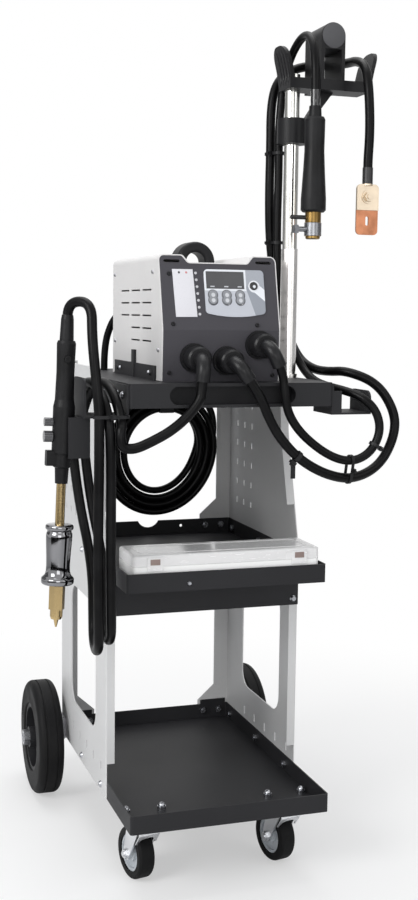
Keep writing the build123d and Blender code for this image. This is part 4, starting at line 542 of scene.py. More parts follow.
gunRoute = [(-51, -287.2, 764), (-52.4, -286.6, 750.1), (-54, -288, 738), (-73, -288, 714), (-98, -288, 694),
            (-126, -289, 680), (-152, -292, 670), (-172, -296, 674), (-172, -295, 697)]
hankFacts = {"hook": (-217, 688), "hookRound": 72, "hookSteps": 4, "sagY": -247, "sagRound": 42,
             "sagSteps": 6}
gunLoops = (
    {"front": -167, "over": -179, "rear": -196, "low": -171, "fore": -184, "next": -184, "bottom": 390},
    {"front": -184, "over": -197, "rear": -214, "low": -188.5, "fore": -202, "next": -201, "bottom": 376},
)
for loop in gunLoops:
    h = hankFacts
    sag = (h["sagY"], loop["bottom"] + h["sagRound"])
    gunRoute += arc(h["hook"], h["hookRound"], 180, 90, h["hookSteps"], loop["front"], loop["over"])
    gunRoute += arc(h["hook"], h["hookRound"], 90, 0, h["hookSteps"], loop["over"], loop["rear"])
    gunRoute += [(loop["rear"] * 0.6 + loop["low"] * 0.4, -162, 590), (loop["low"], -195, 490)]
    gunRoute += arc(sag, h["sagRound"], 0, -180, h["sagSteps"], loop["low"], loop["fore"])
    gunRoute += [(loop["fore"], -289.4, loop["bottom"] + 110), (loop["fore"], -288.6, loop["bottom"] + 190),
                 (loop["next"], -289, 650)]
gunRoute += [(-201, -289, 702.5), (-201, -289, 722.5), (-205, -287, 768), (-209, -279, 824),
             (-207, -268, 874), (-232.6, -236, 875), (-234, -235, 856)]
earthRoute = [(20, -287.2, 765.9), (28.4, -286.8, 754.7), (38, -289, 738), (51, -290, 708), (68, -291, 680),
              (97, -292, 650), (140, -290, 626), (188, -283, 616), (238, -270, 634), (268, -257, 677),
              (271, -250, 714), (247, -237, 757), (206, -214, 775), (190, -178, 772), (181, -138, 774),
              (172, -98, 790), (157, -80, 836), (138, -78, 905), (126, -82, 975), (123, -84, 1045),
              (124, -84, 1118), (124, -82, 1185), (134, -79, 1224), (162, -77, 1246), (197, -78, 1254),
              (224, -92, 1254), (235, -122, 1252), (236, -158, 1250), (235, -192, 1236), (234, -207, 1200),
              (236, -209, 1155), (236.5, -208, 1123), (235.5, -207, 1097), (235.5, -207, 1083)]
toolRoute = [(65.4, -288, 786), (71.7, -287.5, 773.5), (74, -289, 742), (82, -288, 712), (106, -287, 682),
             (148, -287, 652), (184, -288, 643), (213, -290, 657), (228, -291, 688), (222, -288, 719),
             (203, -275, 740), (184, -244, 748), (174, -204, 752), (171, -165, 758), (166, -130, 776),
             (154, -108, 815), (141, -102, 872), (132, -101, 938), (131, -100, 1005), (132, -101, 1080),
             (131, -101, 1150), (136, -99, 1208), (143, -111, 1256), (149, -148, 1284), (149, -186, 1274),
             (147, -204, 1238), (147, -207, 1187), (147, -207, 1169)]

# Mains lead: down through the shelf, then the coil on its hook
coilSizes = {"x": 16.0, "y": 129.0, "z": 624.0, "outer": 103.5, "pitch": 12.3, "dip": 3.5, "turns": 3,
             "steps": 16, "sway": 14.0, "sag": 13.0, "nest": 5.0}


def coilPoints(c):
    points = []
    climb, out, last = c["turns"], c["turns"] + 0.5, 2 * c["turns"] - 0.5
    inner = c["outer"] - c["pitch"] * c["turns"]
    for i in range(int(last * c["steps"])):
        turn = (i + 0.5) / c["steps"]
        y = c["y"] + c["pitch"]
        if turn <= climb:
            r, y = c["outer"] - c["pitch"] * turn, c["y"]
        elif turn < out:
            share = (turn - climb) * 2
            r = inner - c["dip"] * math.sin(math.pi * share)
            y = c["y"] + c["pitch"] * (1 - math.cos(math.pi * share)) / 2
        else:
            r = inner + c["pitch"] * (turn - out) + c["nest"]
        reach = r / math.cos(math.pi / c["steps"])
        angle = math.pi + 2 * math.pi * turn
        hang = (1 - math.sin(angle)) / 2    # none on the hook, all at the bottom of the loop
        points.append((c["x"] + reach * math.cos(angle) - c["sway"] * hang, y,
                       c["z"] + reach * math.sin(angle) - c["sag"] * hang ** 2))
    return points


mainsRoute = [(-70, 71.6, 860), (-70, 89.6, 860), (-82, 116, 848), (-94, 131, 800), (-91.5, 128.5, 700),
              (-92, 129, 654)]
mainsRoute += coilPoints(coilSizes)
mainsRoute += [(113, 141.8, 668), (96, 142, 706), (60, 143, 735), (30, 143.8, 738), (4, 143.8, 738)]

cordFacts = {
    "gunCord": {"route": gunRoute, "thick": 14.5, "length": 2.2, "end": "tool", "lay": "hanging",
                "solids": ("gun_cable", "gun_hank"), "with": ("gun_body",)},
    "earthCord": {"route": earthRoute, "thick": 14.5, "length": 1.38, "end": "fitting", "lay": "hanging",
                  "solids": ("earth_cable",), "with": ("earth_plate",)},
    "toolCord": {"route": toolRoute, "thick": 13.0, "length": 1.15, "end": "tool", "lay": "hanging",
                 "solids": ("tool_cable",), "with": ("hand_tool_grip",)},
    "mainsCord": {"route": mainsRoute, "thick": 12.0, "length": 3.375, "end": "plug", "lay": "coiled",
                  "solids": ("mains_lead", "mains_coil"), "with": ("mains_plug",)},
}
for name, c in cordFacts.items():
    piece = routeCurve(name, c["route"])
    piece.data.bevel_depth = c["thick"] / 2000
    piece.data.bevel_resolution = cordShape["sides"]
    piece.data.use_fill_caps = True
    piece.data.materials.append(paints["cableRubber"].material)
    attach(piece, "trolley")
    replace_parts(piece, *c["solids"])
    tuple(v / 1000 for v in c["route"][0])
    c["thick"] / 1000
print("cords:", len(cordFacts))


# Pieces made as meshes, in metres
meshFacts = {"weld": 0.00001, "corner": 0.6, "bevelSteps": 2, "bevelRound": 0.7}


def addPiece(name, mesh, paint, body="trolley"):
    piece = bpy.data.objects.new(name, mesh)
    scene.collection.objects.link(piece)
    if not mesh.materials:
        mesh.materials.append(paints[paint].material)
    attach(piece, body)
    return piece


def meshPiece(name, build, paint, body="trolley", bevel=0.0, smooth=35.0):
    m = meshFacts
    mesh = bpy.data.meshes.new(name)
    work = bmesh.new()
    build(work)
    bmesh.ops.remove_doubles(work, verts=work.verts[:], dist=m["weld"])
    bmesh.ops.recalc_face_normals(work, faces=work.faces[:])
    if bevel:
        sharp = [e for e in work.edges if len(e.link_faces) == 2 and e.calc_face_angle() > m["corner"]]
        bmesh.ops.bevel(work, geom=sharp, offset=bevel, segments=m["bevelSteps"], profile=m["bevelRound"],
                        affect="EDGES")
    work.to_mesh(mesh)
    work.free()
    mesh.shade_smooth()
    mesh.set_sharp_from_angle(angle=math.radians(smooth))
    return addPiece(name, mesh, paint, body)


def skin(work, rows, closed):    # walls from row to row, then back to the first row or with two end faces
    for first, second in zip(rows, rows[1:] + rows[:1] if closed else rows[1:]):
        for k in range(len(first)):
            j = (k + 1) % len(first)
            work.faces.new((first[k], first[j], second[j], second[k]))
    if not closed:
        work.faces.new(rows[0])
        work.faces.new(rows[-1])


def slab(work, corners, depth):    # flat plate from its corners, thickened by a vector
    low = [work.verts.new(Vector(c)) for c in corners]
    high = [work.verts.new(Vector(c) + depth) for c in corners]
    skin(work, [low, high], False)


def brick(work, low, high):
    corners = [(low[0], low[1], low[2]), (high[0], low[1], low[2]), (high[0], high[1], low[2]),
               (low[0], high[1], low[2])]
    slab(work, corners, Vector((0, 0, high[2] - low[2])))


def roundedPlate(width, height, radius, count=6):    # outline of a plate with round corners
    points = []
    for i, (sx, sy) in enumerate(((1, 1), (-1, 1), (-1, -1), (1, -1))):
        for k in range(count + 1):
            angle = math.pi / 2 * (i + k / count)
            points.append((sx * (width / 2 - radius) + radius * math.cos(angle),
                           sy * (height / 2 - radius) + radius * math.sin(angle)))
    return points


def ringAt(work, place, side, up, radius, sides):
    turns = [2 * math.pi * k / sides for k in range(sides)]
    return [work.verts.new(place + (side * math.cos(t) + up * math.sin(t)) * radius) for t in turns]


def ringsAlong(work, places, radii, sides):    # closed tube of changing width along places
    rings = []
    for i, place in enumerate(places):
        ahead = (places[min(i + 1, len(places) - 1)] - places[max(i - 1, 0)]).normalized()
        side = ahead.orthogonal().normalized() if not rings else (side - ahead * side.dot(ahead)).normalized()
        rings.append(ringAt(work, place, side, ahead.cross(side), radii[i], sides))
    skin(work, rings, False)


def lathe(work, top, axis, profile, sides=64):    # turned piece: pairs of distance down the axis and radius
    side = axis.orthogonal().normalized()
    up = axis.cross(side)
    skin(work, [ringAt(work, top - axis * down, side, up, radius, sides) for down, radius in profile], True)


# Geometry node tree with named sizes: one copy on each spot, joined and painted
class Repeat(Tree):
    def __init__(self, name, sizes):
        super().__init__(bpy.data.node_groups.new(name, "GeometryNodeTree"))
        for way in ("INPUT", "OUTPUT"):
            self.tree.interface.new_socket("Geometry", in_out=way, socket_type="NodeSocketGeometry")
        self.keys = {}
        for key, value in sizes.items():
            socket = self.tree.interface.new_socket(key, in_out="INPUT", socket_type="NodeSocketFloat")
            socket.default_value = value
            self.keys[key] = socket.identifier
        self.start = self.tree.nodes.new("NodeGroupInput")

    def size(self, key):
        return Sock(self, self.start.outputs[key])

    def facing(self):    # turn towards the spot's own direction
        way = self.node("GeometryNodeInputNamedAttribute", 0, {"data_type": "FLOAT_VECTOR"}, Name="facing")
        return self.node("FunctionNodeAlignRotationToVector", 0, {"axis": "Z"}, Vector=way)

    def close(self, shape, turn, paint):
        spots = self.size("Geometry")
        copies = self.node("GeometryNodeInstanceOnPoints", Points=spots, Instance=shape, Rotation=turn)
        solid = self.node("GeometryNodeRealizeInstances", Geometry=copies)
        painted = self.node("GeometryNodeSetMaterial", Geometry=solid, Material=paints[paint].material)
        end = self.tree.nodes.new("NodeGroupOutput")
        self.feed(end.inputs[0], painted)


def repeated(name, tree, spots, sizes, paint, body="trolley"):    # spots: place and facing
    seed = bpy.data.meshes.new(name)
    seed.from_pydata([place for place, facing in spots], [], [])
    facing = seed.attributes.new("facing", "FLOAT_VECTOR", "POINT")
    for slot, (place, way) in zip(facing.data, spots):
        slot.vector = way
    holder = bpy.data.objects.new(name + "Seed", seed)
    scene.collection.objects.link(holder)
    modifier = holder.modifiers.new("repeat", "NODES")
    modifier.node_group = tree.tree
    for key, value in sizes.items():
        modifier[tree.keys[key]] = value
    graph = bpy.context.evaluated_depsgraph_get()
    mesh = bpy.data.meshes.new_from_object(holder.evaluated_get(graph))
    holder.modifiers.remove(modifier)
    bpy.data.objects.remove(holder)
    mesh.name = name
    return addPiece(name, mesh, paint, body)


# Screw head with a hexagon socket; widths are shares of its radius
screwShape = {"sides": 24, "top": 0.72, "key": 0.46, "keySides": 6}


def screwTree(name, paint):
    s = screwShape
    tree = Repeat(name, {"Radius": 0.003, "Height": 0.0022})
    radius, height = tree.size("Radius"), tree.size("Height")
    head = tree.node("GeometryNodeMeshCone", Vertices=s["sides"], Radius_Top=radius * s["top"],
                     Radius_Bottom=radius, Depth=height)
    key = tree.node("GeometryNodeMeshCylinder", Vertices=s["keySides"], Radius=radius * s["key"],
                    Depth=height)
    lift = tree.node("ShaderNodeCombineXYZ", Z=height)
    lifted = tree.node("GeometryNodeTransform", Geometry=key, Translation=lift)
    cut = tree.node("GeometryNodeMeshBoolean", 0, {"operation": "DIFFERENCE"}, Mesh_1=head, Mesh_2=lifted)
    tree.close(cut, tree.facing(), paint)
    return tree


# Low round stud, for printed dots and small lamps
studShape = {"sides": 20, "top": 0.7}


def studTree(name, paint):
    s = studShape
    tree = Repeat(name, {"Radius": 0.002, "Height": 0.0006})
    radius = tree.size("Radius")
    stud = tree.node("GeometryNodeMeshCone", Vertices=s["sides"], Radius_Top=radius * s["top"],
                     Radius_Bottom=radius, Depth=tree.size("Height"))
    tree.close(stud, tree.facing(), paint)
    return tree


# Loose rings for the box, tipped at random from a fixed seed
ringShape = {"sides": 20, "wireSides": 6, "tip": 0.35, "spin": 6.2}


def ringTree(name, paint, seed):
    r = ringShape
    tree = Repeat(name, {"Radius": 0.006, "Wire": 0.0012})
    circle = "GeometryNodeCurvePrimitiveCircle"
    path = tree.node(circle, Resolution=r["sides"], Radius=tree.size("Radius"))
    section = tree.node(circle, Resolution=r["wireSides"], Radius=tree.size("Wire"))
    ring = tree.node("GeometryNodeCurveToMesh", Curve=path, Profile_Curve=section)
    limits = {0: (-r["tip"], -r["tip"], 0.0), 1: (r["tip"], r["tip"], r["spin"])}
    turn = tree.node("FunctionNodeRandomValue", 0, {"data_type": "FLOAT_VECTOR"}, limits, Seed=seed)
    tree.close(ring, turn, paint)
    return tree


# Sloping and lower face of the unit
crease = Vector((0, -0.236, 0.836))
slopeUp = Vector((0, 26, 109)).normalized()
slopeOut = Vector((0, -slopeUp.z, slopeUp.y))
lowOut = Vector((0, -75, -3)).normalized()


def onSlope(x, z, lift=0.0):
    return Vector((x, 0, 0)) + crease + slopeUp * ((z - crease.z) / slopeUp.z) + slopeOut * lift


def onLow(x, z):
    return Vector((x, crease.y + lowOut.z / lowOut.y * (crease.z - z), z))


# White plate beside the overlay, left bare but for two lamps and a row of dots
plateFacts = {"corners": ((-0.0763, 0.9235), (-0.045, 0.9237), (-0.0417, 0.8548), (-0.0742, 0.8545)),
              "thick": 0.0009, "lamps": {"darkLamp": -0.0662, "redLamp": -0.0551}, "lampHeight": 0.9188,
              "lampSizes": {"Radius": 0.0017}, "dotTop": (-0.0405, 0.9185), "dotLow": (-0.0376, 0.859),
              "dots": 7, "dotSizes": {"Radius": 0.0021, "Height": 0.0003}}


def statusPlate(work):
    slab(work, [onSlope(x, z) for x, z in plateFacts["corners"]], slopeOut * plateFacts["thick"])


meshPiece("statusPlate", statusPlate, "whitePlate", bevel=0.0003)
for name, x in plateFacts["lamps"].items():
    spot = (onSlope(x, plateFacts["lampHeight"], plateFacts["thick"]), slopeOut)
    repeated(name, studTree(name + "Tree", name), [spot], plateFacts["lampSizes"], name)
dotSpots = []
for i in range(plateFacts["dots"]):
    share = i / (plateFacts["dots"] - 1)
    x, z = (a + (b - a) * share for a, b in zip(plateFacts["dotTop"], plateFacts["dotLow"]))
    dotSpots.append((onSlope(x, z), slopeOut))
repeated("printDots", studTree("dotTree", "printMark"), dotSpots, plateFacts["dotSizes"], "printMark")

# Screws of the unit: cover sides, front, clamps; one in the lip of the middle tray
screwFacts = {"sizes": {"Radius": 0.0034}, "lip": (-0.0608, -0.267, 0.4698),
              "cover": {"left": -0.096, "right": 0.086, "spots": ((0.0409, 0.9206), (-0.1848, 0.9199),
                                                                  (0.0393, 0.8139), (-0.2169, 0.8065))},
              "clamps": {"left": -0.1014, "right": 0.0914, "spots": ((-0.0132, 0.7718), (-0.1833, 0.7722))},
              "slope": ((-0.081, 0.9168), (-0.0791, 0.8446), (0.0501, 0.8438)),
              "low": ((0.076, 0.77), (-0.084, 0.774))}


def onSides(part):    # the same spots on the left and the right side of the unit
    sides = ((part["left"], -1), (part["right"], 1))
    return [(Vector((x, y, z)), Vector((way, 0, 0))) for y, z in part["spots"] for x, way in sides]


greySpots = onSides(screwFacts["cover"])
brightSpots = [(Vector(screwFacts["lip"]), Vector((0, -1, 0)))] + onSides(screwFacts["clamps"])
darkSpots = [(onSlope(x, z), slopeOut) for x, z in screwFacts["slope"]]
darkSpots += [(onLow(x, z), lowOut) for x, z in screwFacts["low"]]
for name, spots, paint, slotName in (("coverScrews", greySpots, "axleSteel", "zinc"),
                                     ("clampScrews", brightSpots, "zincPlate", "zinc"),
                                     ("frontScrews", darkSpots, "rimPlastic", "front_paint")):
    repeated(name, screwTree(name + "Tree", paint), spots, screwFacts["sizes"], paint)
print("front details set")

# Tool holder: grey disc in the saddle's front, a painted highlight for its lit front face; ribs on the outer
# faces of the horns
saddleLitFaceFacts = {"x": 0.193, "front": -0.165, "z": 1.283, "radius": 0.0187, "edge": 0.0009, "edgeDeep": 0.0005,
               "thick": 0.0013, "sunk": 0.0003, "sides": 64}
ribFacts = {"ys": (-0.1535, -0.143, -0.1325, -0.122), "low": 1.2065, "high": 1.26, "steps": 14,
            "half": 0.0021, "crown": 0.4, "proud": 0.0013, "sunk": 0.0006, "fadeIn": 3, "fadeOut": 4,
            "end": 0.1, "away": 0.02}


def saddleLitFace(work):
    s = saddleLitFaceFacts
    face = s["front"] - s["thick"]
    places = [Vector((s["x"], y, s["z"])) for y in (face, face + s["edgeDeep"], s["front"] + s["sunk"])]
    ringsAlong(work, places, (s["radius"] - s["edge"], s["radius"], s["radius"]), s["sides"])


def hornRibs(work):    # each rib follows the holder's own wall, found by a ray from outside
    r = ribFacts
    low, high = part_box("tool_holder")
    for way, start in ((1, low[0] - r["away"]), (-1, high[0] + r["away"])):
        for y in r["ys"]:
            rows = []
            for k in range(r["steps"] + 1):
                share = k / r["steps"]
                z = r["low"] + (r["high"] - r["low"]) * share
                hit, wall = nodes["tool_holder"].ray_cast(Vector((start, y, z)), Vector((way, 0, 0)))[:2]
                if not hit:
                    break
                proud = r["proud"] * min(1.0, r["fadeIn"] * share, r["fadeOut"] * (1 - share) + r["end"])
                foot = (wall.x + way * r["sunk"], r["half"])
                crown = (wall.x - way * proud, r["half"] * r["crown"])
                rows.append([work.verts.new((x, y + side * half, z)) for (x, half), side in
                             ((foot, -1), (crown, -1), (crown, 1), (foot, 1))])
            skin(work, rows, False)


meshPiece("saddleLitFace", saddleLitFace, "discPlastic")
meshPiece("hornRibs", hornRibs, "holderPlastic")

# Chromed hammer turned smooth, in place of its plain solid; its chrome colour is painted dark to stand in for
# dark reflections
gunTop = Vector((-0.234, -0.235, 0.856))
gunAxis = (gunTop - Vector((-0.2515, -0.235, 0.41))).normalized()
hammerProfile = ((297, 6.9), (297, 17.5), (297.8, 19.2), (299.5, 20), (302.5, 20), (304, 19.2),
                 (304.8, 17.8), (305.5, 17.2), (307.5, 17.2), (308.5, 18), (311, 18.6), (316, 18.7),
                 (328, 18.2), (343, 17.4), (356, 17), (364.5, 17.3), (369.5, 18.8), (372, 21.2),
                 (373.5, 22.9), (375, 23.5), (380.5, 23.5), (382, 22.8), (383, 21.5), (383, 6.9))


def hammerSpool(work):
    lathe(work, gunTop, gunAxis, [(down / 1000, radius / 1000) for down, radius in hammerProfile])


hammer = meshPiece("hammerSpool", hammerSpool, "hammerChrome", "hammer", smooth=40.0)
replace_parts(hammer, "slide_hammer")
print("holder and gun details set")

# Accessory box: latches and a raised frame on the lid
boxFacts = {"latchX": 0.112, "latchHalf": 0.012, "latchLow": 0.4895, "latchHigh": 0.5095, "front": -0.2631,
            "latchThick": 0.0018, "padHalf": 0.0074, "padLow": 0.4985, "padHigh": 0.507, "padThick": 0.0005,
            "top": 0.513, "frameWide": 0.262, "frameDeep": 0.058, "frameBar": 0.003, "frameHigh": 0.0008,
            "frameRound": 0.01, "middle": -0.2205, "floor": 0.4632}


def latchBricks(work, part, front):    # one on each side, by the sizes of that part
    b = boxFacts
    for x in (-b["latchX"], b["latchX"]):
        brick(work, (x - b[part + "Half"], front - b[part + "Thick"], b[part + "Low"]),
              (x + b[part + "Half"], front, b[part + "High"]))


def latchFrames(work):
    latchBricks(work, "latch", boxFacts["front"])


def latchPads(work):
    latchBricks(work, "pad", boxFacts["front"] - boxFacts["latchThick"])


def lidFrame(work):
    b = boxFacts
    bar, low, high = b["frameBar"], b["top"], b["top"] + b["frameHigh"]
    outer = roundedPlate(b["frameWide"], b["frameDeep"], b["frameRound"])
    inner = roundedPlate(b["frameWide"] - 2 * bar, b["frameDeep"] - 2 * bar, b["frameRound"] - bar)
    rows = []
    for outline, z in ((outer, low), (outer, high), (inner, high), (inner, low)):
        rows.append([work.verts.new((x, b["middle"] + y, z)) for x, y in outline])
    skin(work, rows, True)


meshPiece("latchFrames", latchFrames, "clearLid", "lid", bevel=0.0006)
meshPiece("latchPads", latchPads, "latchPad", "lid", bevel=0.0002)
meshPiece("lidFrame", lidFrame, "clearLid", "lid")

# Small stock: rings, studs and washers in staggered rows, and felt pads
stockFacts = {"front": -0.256, "deep": 0.071, "staggerX": 0.3, "staggerY": 0.2, "leanX": 0.15, "leanY": 0.1}
stockKinds = {
    "stockRings": {"left": -0.139, "right": -0.078, "across": 4, "rows": 4, "lift": 0.0035,
                   "paint": "copperRing", "slot": "brass", "seed": 5,
                   "sizes": {"Radius": 0.0062, "Wire": 0.0011}},
    "stockStuds": {"left": -0.067, "right": -0.005, "across": 7, "rows": 6, "lift": 0.0002,
                   "paint": "zincPlate", "slot": "zinc", "sizes": {"Radius": 0.0026, "Height": 0.014}},
    "stockWashers": {"left": 0.078, "right": 0.139, "across": 4, "rows": 4, "lift": 0.0035,
                     "paint": "zincPlate", "slot": "zinc", "seed": 9,
                     "sizes": {"Radius": 0.0068, "Wire": 0.0014}},
}
feltFacts = {"x": 0.012, "y": -0.255, "stepX": 0.029, "stepY": 0.024, "wide": 0.024, "deep": 0.019,
             "high": 0.006, "rise": 0.003, "across": 2, "rows": 3}


def stockSpots(k):    # places in one compartment
    s = stockFacts
    spots = []
    for i in range(k["across"]):
        for j in range(k["rows"]):
            shareX = (i + 0.5 + s["staggerX"] * (j % 2 - 0.5)) / k["across"]
            shareY = (j + 0.5 + s["staggerY"] * (i % 2 - 0.5)) / k["rows"]
            place = Vector((k["left"] + (k["right"] - k["left"]) * shareX, s["front"] + s["deep"] * shareY,
                            boxFacts["floor"] + k["lift"]))
            spots.append((place, Vector((s["leanX"] * (j % 2), s["leanY"], 1)).normalized()))
    return spots


def feltPads(work):
    p, floor = feltFacts, boxFacts["floor"]
    for i in range(p["across"]):
        for j in range(p["rows"]):
            x, y = p["x"] + p["stepX"] * i, p["y"] + p["stepY"] * j
            brick(work, (x, y, floor), (x + p["wide"], y + p["deep"], floor + p["high"] + p["rise"] * i))


for name, k in stockKinds.items():
    if "seed" in k:
        tree = ringTree(name + "Tree", k["paint"], k["seed"])
    else:
        tree = studTree(name + "Tree", k["paint"])
    repeated(name, tree, stockSpots(k), k["sizes"], k["paint"])
meshPiece("feltPads", feltPads, "padFelt", bevel=0.001)
print("accessory box filled")

# Sleeves that follow a cord: strain relief of the mains lead, glossy sleeve over the hand tool
sleeveFacts = {"mainsLength": 0.036, "mainsWide": 0.0098, "mainsSlim": 0.0069, "grooves": 6,
               "grooveDeep": 0.0007, "parts": 4, "toolLength": 0.026, "toolRadius": 0.0074,
               "toolGroove": 0.0004, "sides": 32}


def firstStretch(places, length):
    taken = [places[0]]
    gone = 0.0
    for first, second in zip(places, places[1:]):
        gone += (second - first).length
        if gone > length:
            break
        taken.append(second)
    return taken


def mainsBoot(work):
    s = sleeveFacts
    coarse = firstStretch(routeLine(mainsRoute), s["mainsLength"])
    places, radii = [], []
    for i in range(len(coarse) - 1):
        for part in range(s["parts"]):
            share = (i + part / s["parts"]) / (len(coarse) - 1)
            groove = 0.5 - 0.5 * math.cos(2 * math.pi * s["grooves"] * share)
            places.append(coarse[i].lerp(coarse[i + 1], part / s["parts"]))
            taper = s["mainsWide"] + (s["mainsSlim"] - s["mainsWide"]) * share
            radii.append(taper - s["grooveDeep"] * groove)
    ringsAlong(work, places, radii, s["sides"])


def toolSleeve(work):
    s = sleeveFacts
    places = firstStretch(routeLine(toolRoute)[::-1], s["toolLength"])
    grooved = [i % 3 == 1 for i in range(len(places))]    # every third ring
    radii = [s["toolRadius"] - s["toolGroove"] * cut for cut in grooved]
    ringsAlong(work, places, radii, s["sides"])


meshPiece("mainsBoot", mainsBoot, "plugPlastic", smooth=60.0)
meshPiece("toolSleeve", toolSleeve, "sleevePlastic", smooth=60.0)

# Cable ties: a band round one or two cords, a head and a cut tail
tieShape = {"sides": 40, "thick": 0.0013, "width": 0.0046, "headHigh": 0.0045, "headHalf": 0.75,
            "tailHalf": 0.42}
square = ((-1, -1), (1, -1), (1, 1), (-1, 1))


def tieBand(work, place, along, spread, gap, radius, width, tail):
    t = tieShape
    third = along.cross(spread).normalized()
    outer = radius + t["thick"]
    rows = []
    for k in range(t["sides"]):
        turn = 2 * math.pi * k / t["sides"]
        shift = gap if math.cos(turn) >= 0 else -gap
        row = []
        for r, w in ((radius, -1), (outer, -1), (outer, 1), (radius, 1)):
            side = spread * (shift + r * math.cos(turn)) + third * (r * math.sin(turn))
            row.append(work.verts.new(place + side + along * (w * width / 2)))
        rows.append(row)
    skin(work, rows, True)
    foot = place + third * outer
    for half, high in ((width * t["headHalf"], t["headHigh"]), (width * t["tailHalf"], tail)):
        slab(work, [foot + along * (a * half) + spread * (b * half) for a, b in square], third * high)
        foot = foot + third * high


# Ties in the hanging loop and one round the loops of the gun's cord
loopTies = {
    "loopTie": {"cords": (earthRoute, toolRoute), "x": 0.181, "width": 0.0046, "tail": 0.004},
    "hangTie": {"cords": (earthRoute,), "x": 0.0935, "width": 0.006, "tail": 0.024},
    "bendTie": {"cords": (toolRoute,), "x": 0.2185, "width": 0.0046, "tail": 0.003},
}
loopFacts = {"low": 0.6, "high": 0.7, "pairRadius": 0.0076, "radius": 0.0075, "shortTail": 0.003,
             "endDrop": 0.0105, "endRise": 0.004, "endWide": 0.0034, "endThick": 0.0009}
hankTie = {"place": (-0.184, -0.289, 0.716), "gap": 0.017, "radius": 0.0077, "tail": 0.004}


def nearest(route, x):    # where a cord passes x in the hanging loop, and its direction there
    line = routeLine(route)
    fit = [i for i, p in enumerate(line) if loopFacts["low"] < p.z < loopFacts["high"]]
    i = min(fit, key=lambda i: abs(line[i].x - x))
    return line[i], (line[i + 1] - line[i - 1]).normalized()


def pairTie(work, tie):    # round two cords
    (spot, along), (other, way) = (nearest(route, tie["x"]) for route in tie["cords"])
    spread = (other - spot) - along * (other - spot).dot(along)
    tieBand(work, spot + spread / 2, along, spread.normalized(), spread.length / 2, loopFacts["pairRadius"],
            tie["width"], tie["tail"])


def loneTie(work, tie):    # round one cord; a long tail hangs straight down
    f = loopFacts
    spot, along = nearest(tie["cords"][0], tie["x"])
    hang = Vector((0, 0, -1)) + along * along.z
    tieBand(work, spot, along, hang.cross(along).normalized(), 0.0, f["radius"], tie["width"],
            min(tie["tail"], f["shortTail"]))
    if tie["tail"] > f["shortTail"]:
        end = spot + hang.normalized() * f["endDrop"]
        strip = [end + Vector((a * f["endWide"], b * f["endThick"], f["endRise"])) for a, b in square]
        slab(work, strip, Vector((0, 0, -f["endRise"] - tie["tail"])))


def cordTies(work):
    for tie in loopTies.values():
        if len(tie["cords"]) == 2:
            pairTie(work, tie)
        else:
            loneTie(work, tie)
    h = hankTie
    tieBand(work, Vector(h["place"]), Vector((0, 0, 1)), Vector((-1, 0, 0)), h["gap"], h["radius"],
            tieShape["width"], h["tail"])


# Ties that hold the two cords together behind the mast
mastTieFacts = {"heights": (1.111, 0.97), "radius": 0.0077, "tail": 0.003, "behind": -0.13}


def atHeight(route, z):
    places = [p for p in routeLine(route) if p.y > mastTieFacts["behind"]]
    return min(places, key=lambda p: abs(p.z - z))


def mastTies(work):
    m = mastTieFacts
    for z in m["heights"]:
        earth, tool = atHeight(earthRoute, z), atHeight(toolRoute, z)
        spread = Vector((earth.x - tool.x, earth.y - tool.y, 0))
        tieBand(work, tool + spread / 2, Vector((0, 0, 1)), spread.normalized(), spread.length / 2,
                m["radius"], tieShape["width"], m["tail"])


meshPiece("cordTies", cordTies, "tiePlastic", smooth=40.0)
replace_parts(meshPiece("mastTies", mastTies, "tiePlastic", smooth=40.0), "cable_ties")
print("sleeves and ties set")

# Dark pan behind the grip slot of the shelf, a sheet put there as painted shade inside the slot: a back wall,
# two folds and two ends
slotShadeFacts = {"wide": 0.099, "front": -0.2665, "back": -0.2495, "low": 0.7285, "high": 0.7565, "sheet": 0.001}


def slotShadeBacking(work):
    p = slotShadeFacts
    brick(work, (-p["wide"], p["back"], p["low"]), (p["wide"], p["back"] + p["sheet"], p["high"]))
    brick(work, (-p["wide"], p["front"], p["low"]), (p["wide"], p["back"], p["low"] + p["sheet"]))
    brick(work, (-p["wide"], p["front"], p["high"] - p["sheet"]), (p["wide"], p["back"], p["high"]))
    for left, right in ((-p["wide"], p["sheet"] - p["wide"]), (p["wide"] - p["sheet"], p["wide"])):
        brick(work, (left, p["front"], p["low"]), (right, p["back"], p["high"]))


meshPiece("slotShadeBacking", slotShadeBacking, "blackSheet")
print("grip pan set")

# Front web of each castor fork: an upright band under the race, then a bent part with an arch over the tyre
webFacts = {"x": 0.114, "y": -0.218, "yaw": math.radians(12), "half": 0.0175, "front": 0.0182, "top": 0.0905,
            "bend": 0.0818, "slope": (0.59, -0.807), "sheet": 0.0015,
            "arch": ((17.5, 0), (17.5, 20), (14.7, 20), (14.2, 14), (11, 8.5), (6, 6), (0, 5.2))}


def forkWeb(side):
    w = webFacts
    across = Vector((math.cos(w["yaw"]), math.sin(w["yaw"]), 0))
    back = Vector((-math.sin(w["yaw"]), math.cos(w["yaw"]), 0))
    start = Vector((side * w["x"], w["y"], 0)) - back * w["front"]
    fall = back * w["slope"][0] + Vector((0, 0, w["slope"][1]))
    outward = back * w["slope"][1] - Vector((0, 0, w["slope"][0]))

    def build(work):
        band = [start + across * x * w["half"] + Vector((0, 0, z)) for x, z in
                ((-1, w["bend"]), (1, w["bend"]), (1, w["top"]), (-1, w["top"]))]
        slab(work, band, -back * w["sheet"])
        edge = list(w["arch"]) + [(-x, s) for x, s in reversed(w["arch"][:-1])]
        bent = [start + Vector((0, 0, w["bend"])) + across * (x / 1000) + fall * (s / 1000) for x, s in edge]
        slab(work, bent, outward * w["sheet"])

    return build


for side, hand in ((-1, "left"), (1, "right")):
    meshPiece(f"forkWeb{hand.title()}", forkWeb(side), "castorZinc", f"swivel_{hand}")
print("fork webs set")

